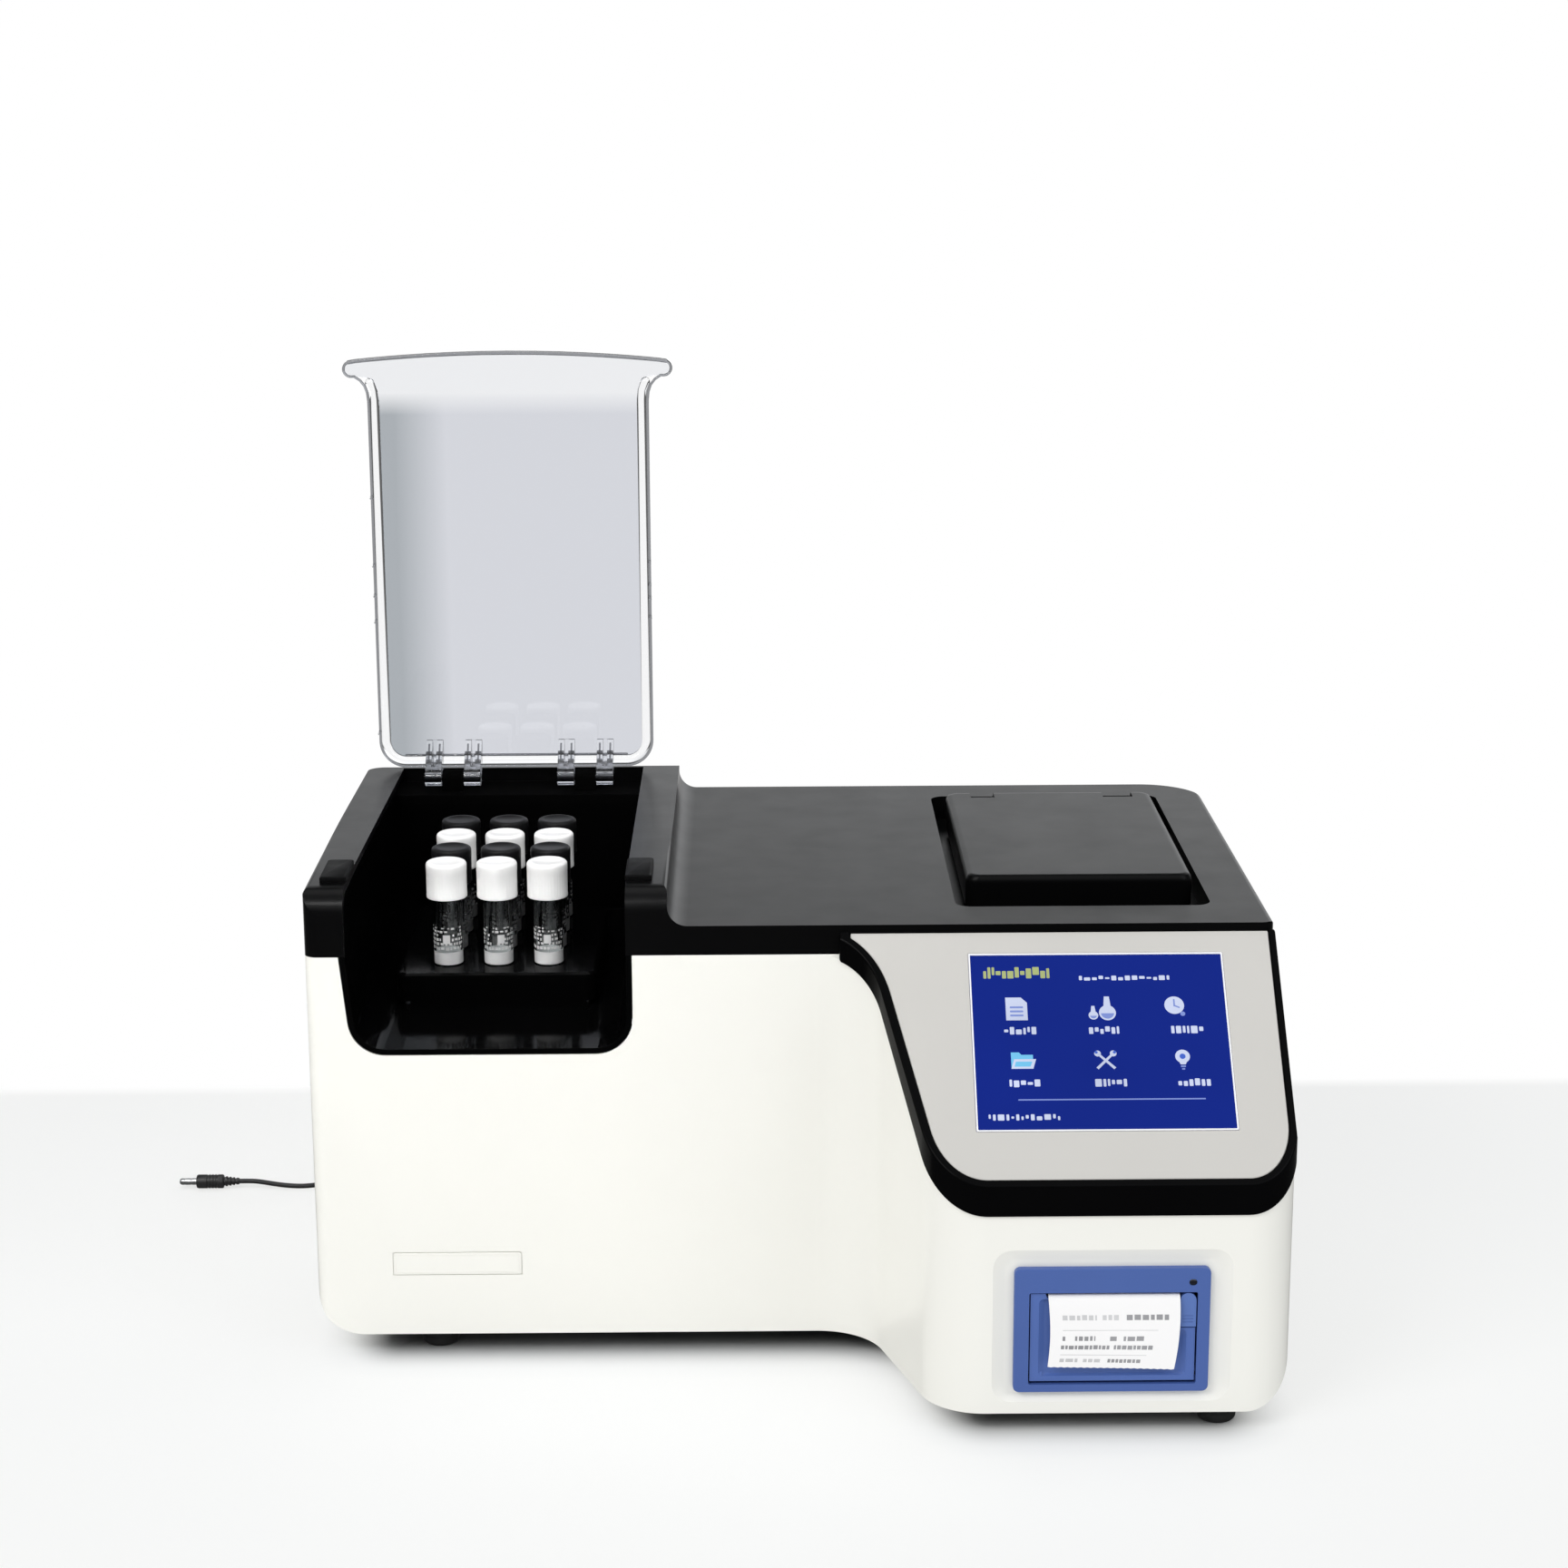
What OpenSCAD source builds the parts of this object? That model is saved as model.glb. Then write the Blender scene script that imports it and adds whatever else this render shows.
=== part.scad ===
// Bench spectrophotometer for water samples: a digester well with twelve vials under a
// clear lid at the left, a measuring compartment at the right, and a sloped touch console
// with a strip printer that stands forward on an S-shaped front.
// Millimetres, +Z up, the front faces -Y. Shapes are drawn with y = 0 on the left front face
// and moved so that the origin lies under the middle of the box.

/* [Body] */
// Width of the body
body_w = 430; // [420:1:440]
// Back wall, measured from the left front face
body_back = 255; // [252:1:258]
// How far the console stands forward of the left front face
console_fwd = 88; // [86:1:90]
// Wall thickness of the housing
wall = 3; // [2.5:0.1:3.5]
// Height of the rubber feet
foot_h = 9.5; // [8:0.5:12]
// Height of the seam between white housing and black cover
seam_z = 189; // [188:0.5:190]
// Height of the flat deck
deck_z = 202.4; // [202:0.2:204]
// Height of the raised digester rim
rim_z = 218.8; // [217:0.2:219]

/* [Digester] */
// Left side of the well opening
well_x0 = -197; // [-198:0.5:-196]
// Right side of the well opening
well_x1 = -72.6; // [-73:0.2:-72]
// Back wall of the well
well_y1 = 222; // [220:0.5:224]
// Floor of the well
well_z0 = 146; // [144:0.5:146]
// Distance between vial columns
vial_dx = 23.5; // [22:0.5:25]
// Distance between vial rows
vial_dy = 26; // [25:0.5:26]
// Outer radius of the vial glass
vial_r = 6.7; // [6.4:0.1:6.8]
// Outer radius of the vial caps
cap_r = 9.5; // [9:0.1:10]

/* [Clear lid] */
// Width of the lid plate
lid_w = 142; // [138:1:142]
// Width at the flared free end
lid_flare_w = 164; // [158:1:164]
// Length from the hinge axis to the flare
lid_len = 198; // [196:1:199]
// Plate thickness
lid_t = 2.6; // [2:0.1:3]

/* [Measuring compartment] */
// Left side of the pocket
pocket_x0 = 75.5; // [75:0.5:77]
// Right side of the pocket
pocket_x1 = 191; // [190:0.5:192]
// Lid, left side
mlid_x0 = 82; // [81:0.5:83]
// Lid, right side
mlid_x1 = 186.5; // [186:0.5:187]
// Top of the lid
mlid_z = 208.4; // [208:0.2:209]

/* [Console] */
// Slope of the console panel in degrees
slope = 44; // [43.5:0.1:44.5]
// Left side of the screen window
screen_x0 = 78.5; // [78:0.5:80]
// Right side of the screen window
screen_x1 = 190.5; // [188:0.5:191]
// Upper edge of the screen window along the slope
screen_s0 = 11.5; // [9:0.5:12]
// Lower edge of the screen window along the slope
screen_s1 = 98; // [95:0.5:98]

/* [Printer] */
// Width of the paper
paper_w = 57; // [56:0.5:58]
// Radius of the paper roll
roll_r = 16.5; // [10:0.5:16.5]

/* [Lead] */
// Diameter of the lead
lead_d = 2.5; // [2:0.1:3]

/* [Hidden] */
$fn = 48;
hw = body_w / 2;
fwd = console_fwd;
front_max = fwd + 3;
y_mid = (body_back - front_max) / 2;
xw = (well_x0 + well_x1) / 2;
xl = xw - 3.2;
// The rims fall a little towards the lid hinge
rim_back = rim_z - 4.8;
function rim_at(y) = rim_z - (rim_z - rim_back) * max(0, y - 50) / (body_back + 1 - 50);
xv = -135.5;
yv = 81;

// Plan of the S-shaped front: a concave arc, a tangent line and a convex arc
s_c1 = [12, -30];
s_r1 = 30;
s_c2 = [82.5, 28 - fwd];
s_r2 = 28;
s_d = s_c2 - s_c1;
s_a = atan2(s_d[1], s_d[0]) + acos((s_r1 + s_r2) / norm(s_d));

function arc(c, r, a0, a1, n) = [for (i = [0:n]) c + r * [cos(a0 + (a1 - a0) * i / n), sin(a0 + (a1 - a0) * i / n)]];

// Body outline, moved inwards by o
function plan(o) = concat(
    arc([-hw + 6, 6], 6 - o, 180, 270, 5),
    arc(s_c1, s_r1 + o, 90, s_a, 10),
    arc(s_c2, s_r2 - o, 180 + s_a, 270, 10),
    arc([hw - 22, 22 - fwd], 22 - o, 270, 360, 9),
    arc([hw - 30, body_back - 30], 30 - o, 0, 90, 10),
    arc([-hw + 8, body_back - 8], 8 - o, 90, 180, 5));

// Outline of the cover, without the console
function cover_plan(o) = concat(
    arc([-hw + 6, 6], 6 - o, 180, 270, 5),
    arc([hw - 6, 6], 6 - o, 270, 360, 5),
    arc([hw - 30, body_back - 30], 30 - o, 0, 90, 10),
    arc([-hw + 8, body_back - 8], 8 - o, 90, 180, 5));

// Front view of the housing with rounded bottom side edges
edge_r = 21;
function front_view(o, top) = concat(
    [[hw - o, top], [-hw + o, top]],
    arc([-hw + edge_r, foot_h + edge_r], edge_r - o, 180, 270, 8),
    arc([hw - edge_r, foot_h + edge_r], edge_r - o, 270, 360, 8));

module box(x0, x1, y0, y1, z0, z1) {
    translate([x0, y0, z0]) cube([x1 - x0, y1 - y0, z1 - z0]);
}

// Extrude a front view (x, z) along y from y0 to y1
module along_y(y0, y1) {
    translate([0, y1, 0]) rotate([90, 0, 0]) linear_extrude(y1 - y0) children();
}

// Extrude a side view (y, z) along x from x0 to x1
module along_x(x0, x1) {
    translate([x0, 0, 0]) rotate([90, 0, 90]) linear_extrude(x1 - x0) children();
}

module rod_x(x0, x1, y, z, r) {
    translate([x0, y, z]) rotate([0, 90, 0]) cylinder(r = r, h = x1 - x0);
}

module rod_y(x, y0, y1, z, r) {
    translate([x, y0, z]) rotate([-90, 0, 0]) cylinder(r = r, h = y1 - y0);
}

module rod_z(x, y, z0, z1, r) {
    translate([x, y, z0]) cylinder(r = r, h = z1 - z0);
}

// Upright block with rounded corners
module rbox(x0, x1, y0, y1, z0, z1, r) {
    translate([0, 0, z0]) linear_extrude(z1 - z0) polygon(concat(
        arc([x0 + r, y0 + r], r, 180, 270, 4), arc([x1 - r, y0 + r], r, 270, 360, 4),
        arc([x1 - r, y1 - r], r, 0, 90, 4), arc([x0 + r, y1 - r], r, 90, 180, 4)));
}

// Block with rounded corners in the front view
module fbox(x0, x1, y0, y1, z0, z1, r) {
    along_y(y0, y1) polygon(concat(
        arc([x0 + r, z0 + r], r, 180, 270, 4), arc([x1 - r, z0 + r], r, 270, 360, 4),
        arc([x1 - r, z1 - r], r, 0, 90, 4), arc([x0 + r, z1 - r], r, 90, 180, 4)));
}

// ---- console geometry: s runs down the slope from the deck edge, n stands out of it
top_z = 199.5;
lip_y = -fwd - 1;
function con(s, n) = [-s * cos(slope) - n * sin(slope), top_z - s * sin(slope) + n * cos(slope)];
function front_z(y) = top_z + y * tan(slope);
back0_z = 188.8;
back1_z = 99.5;

module slope_box(x0, x1, s0, s1, n0, n1) {
    along_x(x0, x1) polygon([con(s0, n0), con(s1, n0), con(s1, n1), con(s0, n1)]);
}

// ---- fixed places
foot_at = [[-161, 15], [184, -72], [-161, 228], [168, 228]];
plate_screw_at = [[-120, 20], [-20, 20], [-120, 235], [60, 240], [110, -70], [150, 10]];
pad_x = [[-209, -197], [-73, -61]];
hinge_y = 236;
hinge_z = 213;
tab_x = [-180, -160, -112, -92];
knuckle_x = [-170, -102];
maxis_y = 212;
maxis_z = 203;
mpost_x = [[95, 106], [162, 176]];
daxis_y = 2.5 - fwd;
daxis_z = 27;
prn_x = 137;
fan_x = -100;
fan_z = 75;
inlet_x = 138;
inlet_z = 60;

// Well cross-section moved outwards by o
function well_view(o) = concat(
    [[well_x1 + o, rim_z + 5], [well_x0 - o, rim_z + 5], [well_x0 - o, seam_z]],
    arc([well_x0 + 3 + 14, well_z0 + 14], 14 + o, 186, 270, 6),
    arc([well_x1 - 14, well_z0 + 14], 14 + o, 270, 360, 6),
    [[well_x1 + o, seam_z]]);

// ---------------------------------------------------------------- housing
module body_shell() {
    color("#f4f2ec") difference() {
        intersection() {
            translate([0, 0, foot_h]) linear_extrude(seam_z - foot_h) polygon(plan(0));
            along_y(-fwd - 5, body_back + 5) polygon(front_view(0, seam_z + 1));
        }
        // inside
        intersection() {
            translate([0, 0, foot_h + 6]) linear_extrude(seam_z) polygon(plan(wall));
            along_y(-fwd - 5, body_back + 5) polygon(front_view(wall, seam_z + 30));
        }
        // base plate seat and the opening above it
        translate([0, 0, foot_h - 1]) linear_extrude(4) intersection() {
            polygon(plan(10));
            translate([-190, -200]) square([380, 500]);
        }
        translate([0, 0, foot_h]) linear_extrude(10) intersection() {
            polygon(plan(27));
            translate([-172, -200]) square([340, 500]);
        }
        // console slope
        along_x(12, hw + 5) polygon([[0, back0_z], [lip_y - 5, back1_z - 5 * (back0_z - back1_z) / (-lip_y)],
            [lip_y - 5, seam_z + 20], [0, seam_z + 20]]);
        // well front
        along_y(-1, wall + 1) polygon(well_view(2.8));
        // printer recess and cut-out
        fbox(85, 187, -fwd - 1, -fwd + 1.5, 15, 84, 7);
        box(95.5, 176.5, -fwd - 1, -fwd + wall + 1, 20.5, 74.5);
        // plate on the left front face
        box(-180.3, -121.7, -1, 0.6, 38.2, 49.3);
        // back: inlet seat, inlet, fan slots
        box(inlet_x - 26.2, inlet_x + 26.2, body_back - 1.6, body_back + 1, inlet_z - 15.2, inlet_z + 15.2);
        box(inlet_x - 22.5, inlet_x + 22.5, body_back - 5, body_back + 1, inlet_z - 12.5, inlet_z + 12.5);
        for (i = [-3:3]) box(fan_x - sqrt(27 * 27 - 49 * i * i), fan_x + sqrt(27 * 27 - 49 * i * i), body_back - 5, body_back + 1, fan_z + 7 * i - 1.8, fan_z + 7 * i + 1.8);
        for (i = [-1, 1], j = [-1, 1]) rod_y(fan_x + 25 * i, body_back - 5, body_back + 1, fan_z + 25 * j, 2.05);
        // side socket
        box(-hw - 1, -hw + 5, 201.7, 212.3, 40.7, 51.3);
        // screw holes in the base flange
        for (p = foot_at) rod_z(p[0], p[1], foot_h + 1, foot_h + 8, 2.02);
        for (p = plate_screw_at) rod_z(p[0], p[1], foot_h + 1, foot_h + 8, 1.52);
    }
}

module base_plate() {
    color("#9a9c9e") difference() {
        union() {
            translate([0, 0, foot_h]) linear_extrude(3) intersection() {
                polygon(plan(10.3));
                translate([-189.7, -200]) square([379.4, 500]);
            }
            // pillars under the heated block
            for (i = [-1, 1], j = [-1, 1]) rod_z(xv + 30 * i, yv + 1.5 * vial_dy + 56 * j, foot_h + 2.9, 86, 4);
        }
        for (p = foot_at) rod_z(p[0], p[1], foot_h - 1, foot_h + 5, 2.2);
        for (p = plate_screw_at) rod_z(p[0], p[1], foot_h - 1, foot_h + 5, 1.7);
        for (i = [0:7]) box(-40 + 14 * i, -35 + 14 * i, 90, 150, foot_h - 1, foot_h + 5);
    }
}

module rubber_feet() {
    color("#1b1b1c") for (p = foot_at) translate([p[0], p[1], 0]) rotate_extrude()
        polygon([[4.3, 0], [7.4, 0], [8.4, 1.2], [9, foot_h], [2.3, foot_h], [2.3, 5], [4.3, 5]]);
}

module case_screws() {
    color("#b8babc") {
        for (p = foot_at) translate([p[0], p[1], 0]) rotate_extrude()
            polygon([[0, 2.3], [3, 2.3], [3.9, 3.4], [3.9, 5], [1.98, 5], [1.98, foot_h + 5.8], [0, foot_h + 5.8]]);
        for (p = plate_screw_at) translate([p[0], p[1], 0]) rotate_extrude()
            polygon([[0, foot_h - 1.8], [2.2, foot_h - 1.8], [2.9, foot_h - 1], [2.9, foot_h], [1.48, foot_h], [1.48, foot_h + 5.8], [0, foot_h + 5.8]]);
        for (i = [-1, 1], j = [-1, 1]) rod_y(fan_x + 25 * i, body_back - 17, body_back, fan_z + 25 * j, 1.98);
    }
}

module name_plate() {
    color("#f1efe9") box(-180, -122, -0.3, 0.6, 38.5, 49);
}

// ---------------------------------------------------------------- cover
module cover_solid(o) {
    e = 2.5;
    intersection() {
        translate([0, 0, seam_z - 1]) linear_extrude(60) polygon(cover_plan(o));
        along_y(-1, body_back + 1) polygon(concat(
            [[hw - o, seam_z - (o > 0 ? 1 : 0)]],
            o > 0 ? [[hw - o, deck_z - o]] : arc([hw - e, deck_z - e], e, 0, 90, 3),
            arc([-45, deck_z + 9], 9 + o, 270, 180, 5),
            o > 0 ? [[-54 - o, rim_z - o], [-hw + o, rim_z - o]] : concat(arc([-54 - e, rim_z - e], e, 0, 90, 3), arc([-hw + e, rim_z - e], e, 90, 180, 3)),
            [[-hw + o, seam_z - (o > 0 ? 1 : 0)]]));
        // rounded front edge of the rims
        along_x(-hw - 1, hw + 1) polygon(concat(
            [[o, seam_z - 2], [o, rim_z - 12]], arc([12, rim_z - 12], 12 - o, 180, 90, 6),
            [[50, rim_z - o], [body_back + 1, rim_back - o], [body_back + 1, seam_z - 2]]));
    }
}

module top_cover() {
    color("#232426") difference() {
        union() {
            difference() {
                cover_solid(0);
                cover_solid(3);
            }
            // ledge that carries the lid hinge
            box(-212.5, -57.5, well_y1, body_back - 2, 203.6, 207);
            // pocket of the measuring compartment
            rbox(pocket_x0 - 2.5, pocket_x1 + 2.5, 25.5, 234.5, 187.9, deck_z - 1, 9);
        }
        box(well_x0, well_x1, -1, well_y1, seam_z - 2, rim_z + 5);
        box(well_x0, well_x1, well_y1 - 0.01, body_back - 2.7, 207, rim_z + 5);
        rbox(pocket_x0, pocket_x1, 28, 232, deck_z - 12, deck_z + 5, 7);
        box(101.5, 160.5, 90.5, 129.5, 180, deck_z);
        for (k = knuckle_x) for (i = [-3, 3]) rod_z(k + i, 236, 200, 210, 1.3);
    }
}

module hinge_knuckles() {
    color("#232426") {
        for (k = knuckle_x) difference() {
            union() {
                rod_x(k - 5.3, k + 5.3, hinge_y, hinge_z, 4.2);
                box(k - 5.3, k + 5.3, hinge_y - 4.2, hinge_y + 4.2, 207, hinge_z);
            }
            rod_x(k - 6, k + 6, hinge_y, hinge_z, 1.6);
        }
        for (p = mpost_x) difference() {
            union() {
                rod_x(p[0], p[1], maxis_y, maxis_z, 4.4);
                box(p[0], p[1], maxis_y - 4.4, maxis_y + 4.4, deck_z - 12, maxis_z);
            }
            rod_x(p[0] - 1, p[1] + 1, maxis_y, maxis_z, 1.5);
        }
    }
}

module hinge_pins() {
    color("#c9cbcd") {
        for (k = knuckle_x) rod_x(k - 14.2, k + 14.2, hinge_y, hinge_z, 1.6);
        for (p = mpost_x) rod_x(p[0] - 6, p[1] + 6, maxis_y, maxis_z, 1.5);
        rod_x(97.2, 105, daxis_y, daxis_z, 1.2);
        rod_x(167, 174.3, daxis_y, daxis_z, 1.2);
    }
}

module lid_rest_pads() {
    color("#1d1d1f") for (p = pad_x) rbox(p[0], p[1], 16, 47, rim_z, rim_z + 2.5, 1.2);
}

// ---------------------------------------------------------------- digester
module well_liner() {
    color("#1a1a1c") difference() {
        union() {
            intersection() {
                along_y(0, well_y1 + 2.5) polygon(well_view(2.5));
                // the part above the seam stays behind the front wall of the cover
                along_x(well_x0 - 10, well_x1 + 10) polygon([[0, well_z0 - 5], [0, seam_z - 0.2], [3.3, seam_z - 0.2], [3.3, 206], [6, 212],
                    [12.2, rim_z - 3], [50, rim_z - 3], [well_y1, rim_at(well_y1) - 3], [well_y1, 203.6], [well_y1 + 2.5, 203.6], [well_y1 + 2.5, well_z0 - 5]]);
            }
        }
        along_y(-1, well_y1) polygon(well_view(0));
        box(xv - 43.3, xv + 43.3, yv - 14.8, yv + 3 * vial_dy + 14.8, 130, 150);
    }
}

module vial_places() {
    for (c = [-1:1], r = [0:3]) translate([xv + c * vial_dx, yv + r * vial_dy, 0]) children();
}

module block_cover() {
    color("#161617") difference() {
        union() {
            rbox(xv - 47, xv + 47, yv - 19, yv + 3 * vial_dy + 19, well_z0 + 2.5, 161.5, 5);
            // front and back stand on the flat part of the well floor
            box(xv - 40, xv + 41.5, yv - 19, yv + 3 * vial_dy + 19, well_z0, well_z0 + 2.6);
        }
        rbox(xv - 44, xv + 44, yv - 16, yv + 3 * vial_dy + 16, well_z0 - 1, 158.7, 3);
        vial_places() translate([0, 0, 150]) cylinder(r = vial_r + 0.8, h = 20);
    }
}

module heating_block() {
    color("#b9bcbf") difference() {
        box(xv - 42.5, xv + 42.5, yv - 14, yv + 3 * vial_dy + 14, 100, 156.8);
        vial_places() translate([0, 0, 108.3]) cylinder(r = vial_r + 0.4, h = 60);
        rod_x(xv - 50, xv - 20, yv + 1.5 * vial_dy, 103.5, 1.6);
    }
}

module heater_plate() {
    color("#b0622f") difference() {
        box(xv - 42.5, xv + 42.5, yv - 14, yv + 3 * vial_dy + 14, 96.5, 100);
        for (i = [-1, 1], j = [0, 3]) rod_z(xv + 30 * i, yv + j * vial_dy, 90, 105, 2);
    }
}

module block_jacket() {
    color("#d8d3c4") difference() {
        box(xv - 56, xv + 56, yv - 27, yv + 3 * vial_dy + 27, 86, well_z0 - 2.5);
        box(xv - 42.8, xv + 42.8, yv - 14.3, yv + 3 * vial_dy + 14.3, 96.5, 150);
        rod_x(xv - 60, xv - 20, yv + 1.5 * vial_dy, 103.5, 1.6);
    }
}

module temperature_probe() {
    color("#aeb1b4") union() {
        rod_x(xv - 62, xv - 22, yv + 1.5 * vial_dy, 103.5, 1.5);
        rod_x(xv - 66, xv - 57, yv + 1.5 * vial_dy, 103.5, 3);
    }
}

module vial(c, r, cap) {
    translate([xv + c * vial_dx, yv + r * vial_dy, 0]) {
        color("#dfe7ea") rotate_extrude() polygon(concat(
            [[0, 108.8]], arc([vial_r - 4.5, 113.3], 4.5, 270, 360, 6), [[vial_r, 207], [vial_r - 1, 207]],
            [[vial_r - 1, 114]], arc([vial_r - 4.5, 113.5], 3.5, 360, 270, 5), [[0, 110]]));
        color(cap) rotate_extrude() polygon(concat(
            [[vial_r + 0.05, 193.8], [cap_r, 193.8]], arc([cap_r - 1.6, 209.2], 1.6, 0, 90, 4),
            [[0, 210.8], [0, 208], [vial_r + 0.05, 208]]));
    }
}

// ---------------------------------------------------------------- clear lid, standing open
// Sides and rounded hinge end in the front view, moved inwards by o, up to height top
function lid_sides(o, top) = concat(
    arc([xl - lid_w / 2 + 14, hinge_z + 16], 14 - o, 180, 270, 6),
    arc([xl + lid_w / 2 - 14, hinge_z + 16], 14 - o, 270, 360, 6),
    [[xl + lid_w / 2 - o, top], [xl - lid_w / 2 + o, top]]);

// Free end: a shallow arc, moved inwards by o
function lid_end(o) = [for (i = [0:8]) [xl + (lid_flare_w / 2 - 1) * (1 - i / 4), hinge_z + 213.5 - o + 3.3 * (1 - pow(1 - i / 4, 2))]];

// Whole plate with its flared free end
flare_r = (lid_flare_w - lid_w) / 2 + 3;
function lid_view() = concat(
    arc([xl - lid_w / 2 + 14, hinge_z + 16], 14, 180, 270, 6),
    arc([xl + lid_w / 2 - 14, hinge_z + 16], 14, 270, 360, 6),
    arc([xl + lid_w / 2 + flare_r, hinge_z + lid_len - 4], flare_r, 180, 110, 5),
    lid_end(0),
    arc([xl - lid_w / 2 - flare_r, hinge_z + lid_len - 4], flare_r, 70, 0, 5));

lid_y = hinge_y + 13.3;

module clear_lid() {
    color("#dfe4ec", 0.45) difference() {
        union() {
            along_y(lid_y, lid_y + lid_t) polygon(lid_view());
            // skirt, lower where it meets the rest pads
            along_y(lid_y - 7, lid_y + 0.5) difference() {
                polygon(lid_sides(0, hinge_z + 172));
                polygon(lid_sides(2.5, hinge_z + 173));
            }
            along_y(lid_y - 4.4, lid_y + 0.5) difference() {
                polygon(lid_sides(0, hinge_z + lid_len - 5));
                polygon(lid_sides(2.5, hinge_z + lid_len));
            }
            // rolled lip
            along_y(lid_y - 4.4, lid_y + lid_t) polygon(concat(lid_end(0), [for (i = [8:-1:0]) lid_end(5.5)[i]]));
            // hinge tabs
            for (t = tab_x) {
                rod_x(t - 4.25, t + 4.25, hinge_y, hinge_z, 4.2);
                along_x(t - 4.25, t + 4.25) polygon([[hinge_y - 4.2, hinge_z], [hinge_y + 4.2, hinge_z], [lid_y + 0.5, hinge_z + 5], [lid_y + 0.5, hinge_z + 17], [lid_y - 2, hinge_z + 17]]);
            }
        }
        for (t = tab_x) rod_x(t - 5, t + 5, hinge_y, hinge_z, 1.66);
    }
}

// ---------------------------------------------------------------- measuring compartment
module cuvette_lid() {
    color("#232426") difference() {
        union() {
            rbox(mlid_x0, mlid_x1, 57, 217, mlid_z - 3, mlid_z, 5);
            difference() {
                rbox(mlid_x0, mlid_x1, 57, 217, 193.4, mlid_z - 1, 5);
                rbox(mlid_x0 + 3, mlid_x1 - 3, 60, 230, 190, mlid_z - 2, 3);
                box(0, 300, 203, 230, 190, mlid_z - 3);
            }
            for (p = mpost_x) for (x = [p[0] - 6, p[1] + 0.5])
                intersection() {
                    rod_x(x, x + 5.5, maxis_y, maxis_z, 4.4);
                    box(x, x + 5.5, maxis_y - 5, maxis_y + 5, maxis_z - 5, mlid_z);
                }
        }
        for (p = mpost_x) {
            box(p[0] - 0.5, p[1] + 0.5, 205.5, 220, 190, mlid_z + 1);
            rod_x(p[0] - 7, p[1] + 7, maxis_y, maxis_z, 1.56);
        }
    }
}

module lid_seal() {
    color("#161617") difference() {
        rbox(92, 170, 82, 138, deck_z - 11.6, mlid_z - 3, 4);
        rbox(95, 167, 85, 135, deck_z - 13, mlid_z, 3);
    }
}

module cuvette_holder() {
    color("#1c1c1e") difference() {
        union() {
            box(103, 159, 92, 128, 133, deck_z - 12);
            // bench that carries lamp, motor and detector
            box(40, 170, 92, 140, 130, 134);
            rbox(98, 164, 87, 133, deck_z - 12, deck_z - 9.6, 4);
        }
        box(131 - 6.3, 131 + 6.3, 110 - 6.3, 110 + 6.3, 147, 200);
        rod_x(100, 170, 110, 158, 3);
    }
}

module light_source() {
    color("#8f9296") difference() {
        union() {
            rod_x(66, 94, 110, 158, 6);
            box(52, 66.01, 99, 119, 134, 170);
            for (i = [-2:2]) box(40, 52.01, 109 + 4 * i - 0.8, 109 + 4 * i + 0.8, 146, 170);
        }
        rod_x(80, 95, 110, 158, 4);
    }
}

module filter_wheel() {
    color("#3a3c40") difference() {
        rod_x(96, 99, 126, 158, 21);
        rod_x(90, 105, 126, 158, 1.55);
        for (i = [0:5]) rod_x(90, 105, 126 + 16 * cos(60 * i + 180), 158 + 16 * sin(60 * i + 180), 4);
    }
}

module filter_motor() {
    color("#a7a9ac") union() {
        rod_x(70, 92, 126, 158, 9);
        rod_x(92, 100, 126, 158, 1.5);
        box(76, 86, 135 - 0.5, 139, 152, 164);
        box(72, 90, 120, 132, 134, 152);
    }
}

module detector_board() {
    color("#2c6b3f") union() {
        box(163, 164.6, 92, 128, 134, 176);
        rod_x(159.2, 163.01, 110, 158, 4.5);
        box(164.6, 167.5, 114, 124, 146, 152);
    }
}

// ---------------------------------------------------------------- console
module console_blank(o, x0, y1, prof, dy = 0) {
    intersection() {
        translate([0, 0, 80]) linear_extrude(140) intersection() {
            translate([0, dy]) polygon(plan(o));
            translate([x0, -fwd - 10]) square([hw - max(o, 0) - x0, fwd + 10 + y1]);
        }
        along_x(x0 - 1, hw + 1) polygon(prof);
    }
}

module console_frame() {
    color("#161617") difference() {
        console_blank(-1, 22, 0, [[0, back0_z], [0, top_z], [lip_y, front_z(lip_y)], [lip_y, back1_z]]);
        // seat of the panel
        console_blank(3.2, 26.9, 0.1, [con(-10, -3), con(140, -3), con(140, 5), con(-10, 5)], -1.7);
        // opening behind the panel and room for the screen
        console_blank(8, 45, -8, [con(-30, -40), con(150, -40), con(150, 5), con(-30, 5)]);
        slope_box(screen_x0 - 3.3, screen_x1 + 3.3, screen_s0 - 1.8, screen_s1 + 3.3, -40, -2.9);
    }
}

module console_panel() {
    color("#d9d7d3") difference() {
        console_blank(3.3, 27, -0.4, [con(-10, -3), con(140, -3), con(140, -0.3), con(-10, -0.3)], -1.7);
        slope_box(screen_x0, screen_x1, screen_s0, screen_s1, -10, 10);
    }
}

module touch_screen() {
    color("#16209a") union() {
        slope_box(screen_x0 + 0.15, screen_x1 - 0.15, screen_s0 + 0.15, screen_s1 - 0.15, -3.5, -0.9);
        slope_box(screen_x0 - 3, screen_x1 + 3, screen_s0 - 1.5, screen_s1 + 3, -6.5, -3);
    }
}

module main_board() {
    color("#2c6b3f") union() {
        slope_box(84, 186, 14, 94, -17.6, -16);
        slope_box(100, 118, 30, 48, -20, -17.59);
        slope_box(130, 142, 55, 67, -19.4, -17.59);
        slope_box(150, 176, 16, 24, -26, -17.59);
        for (x = [88, 182], s = [18, 90]) slope_box(x - 2, x + 2, s - 2, s + 2, -16.01, -6.5);
    }
}

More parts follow.
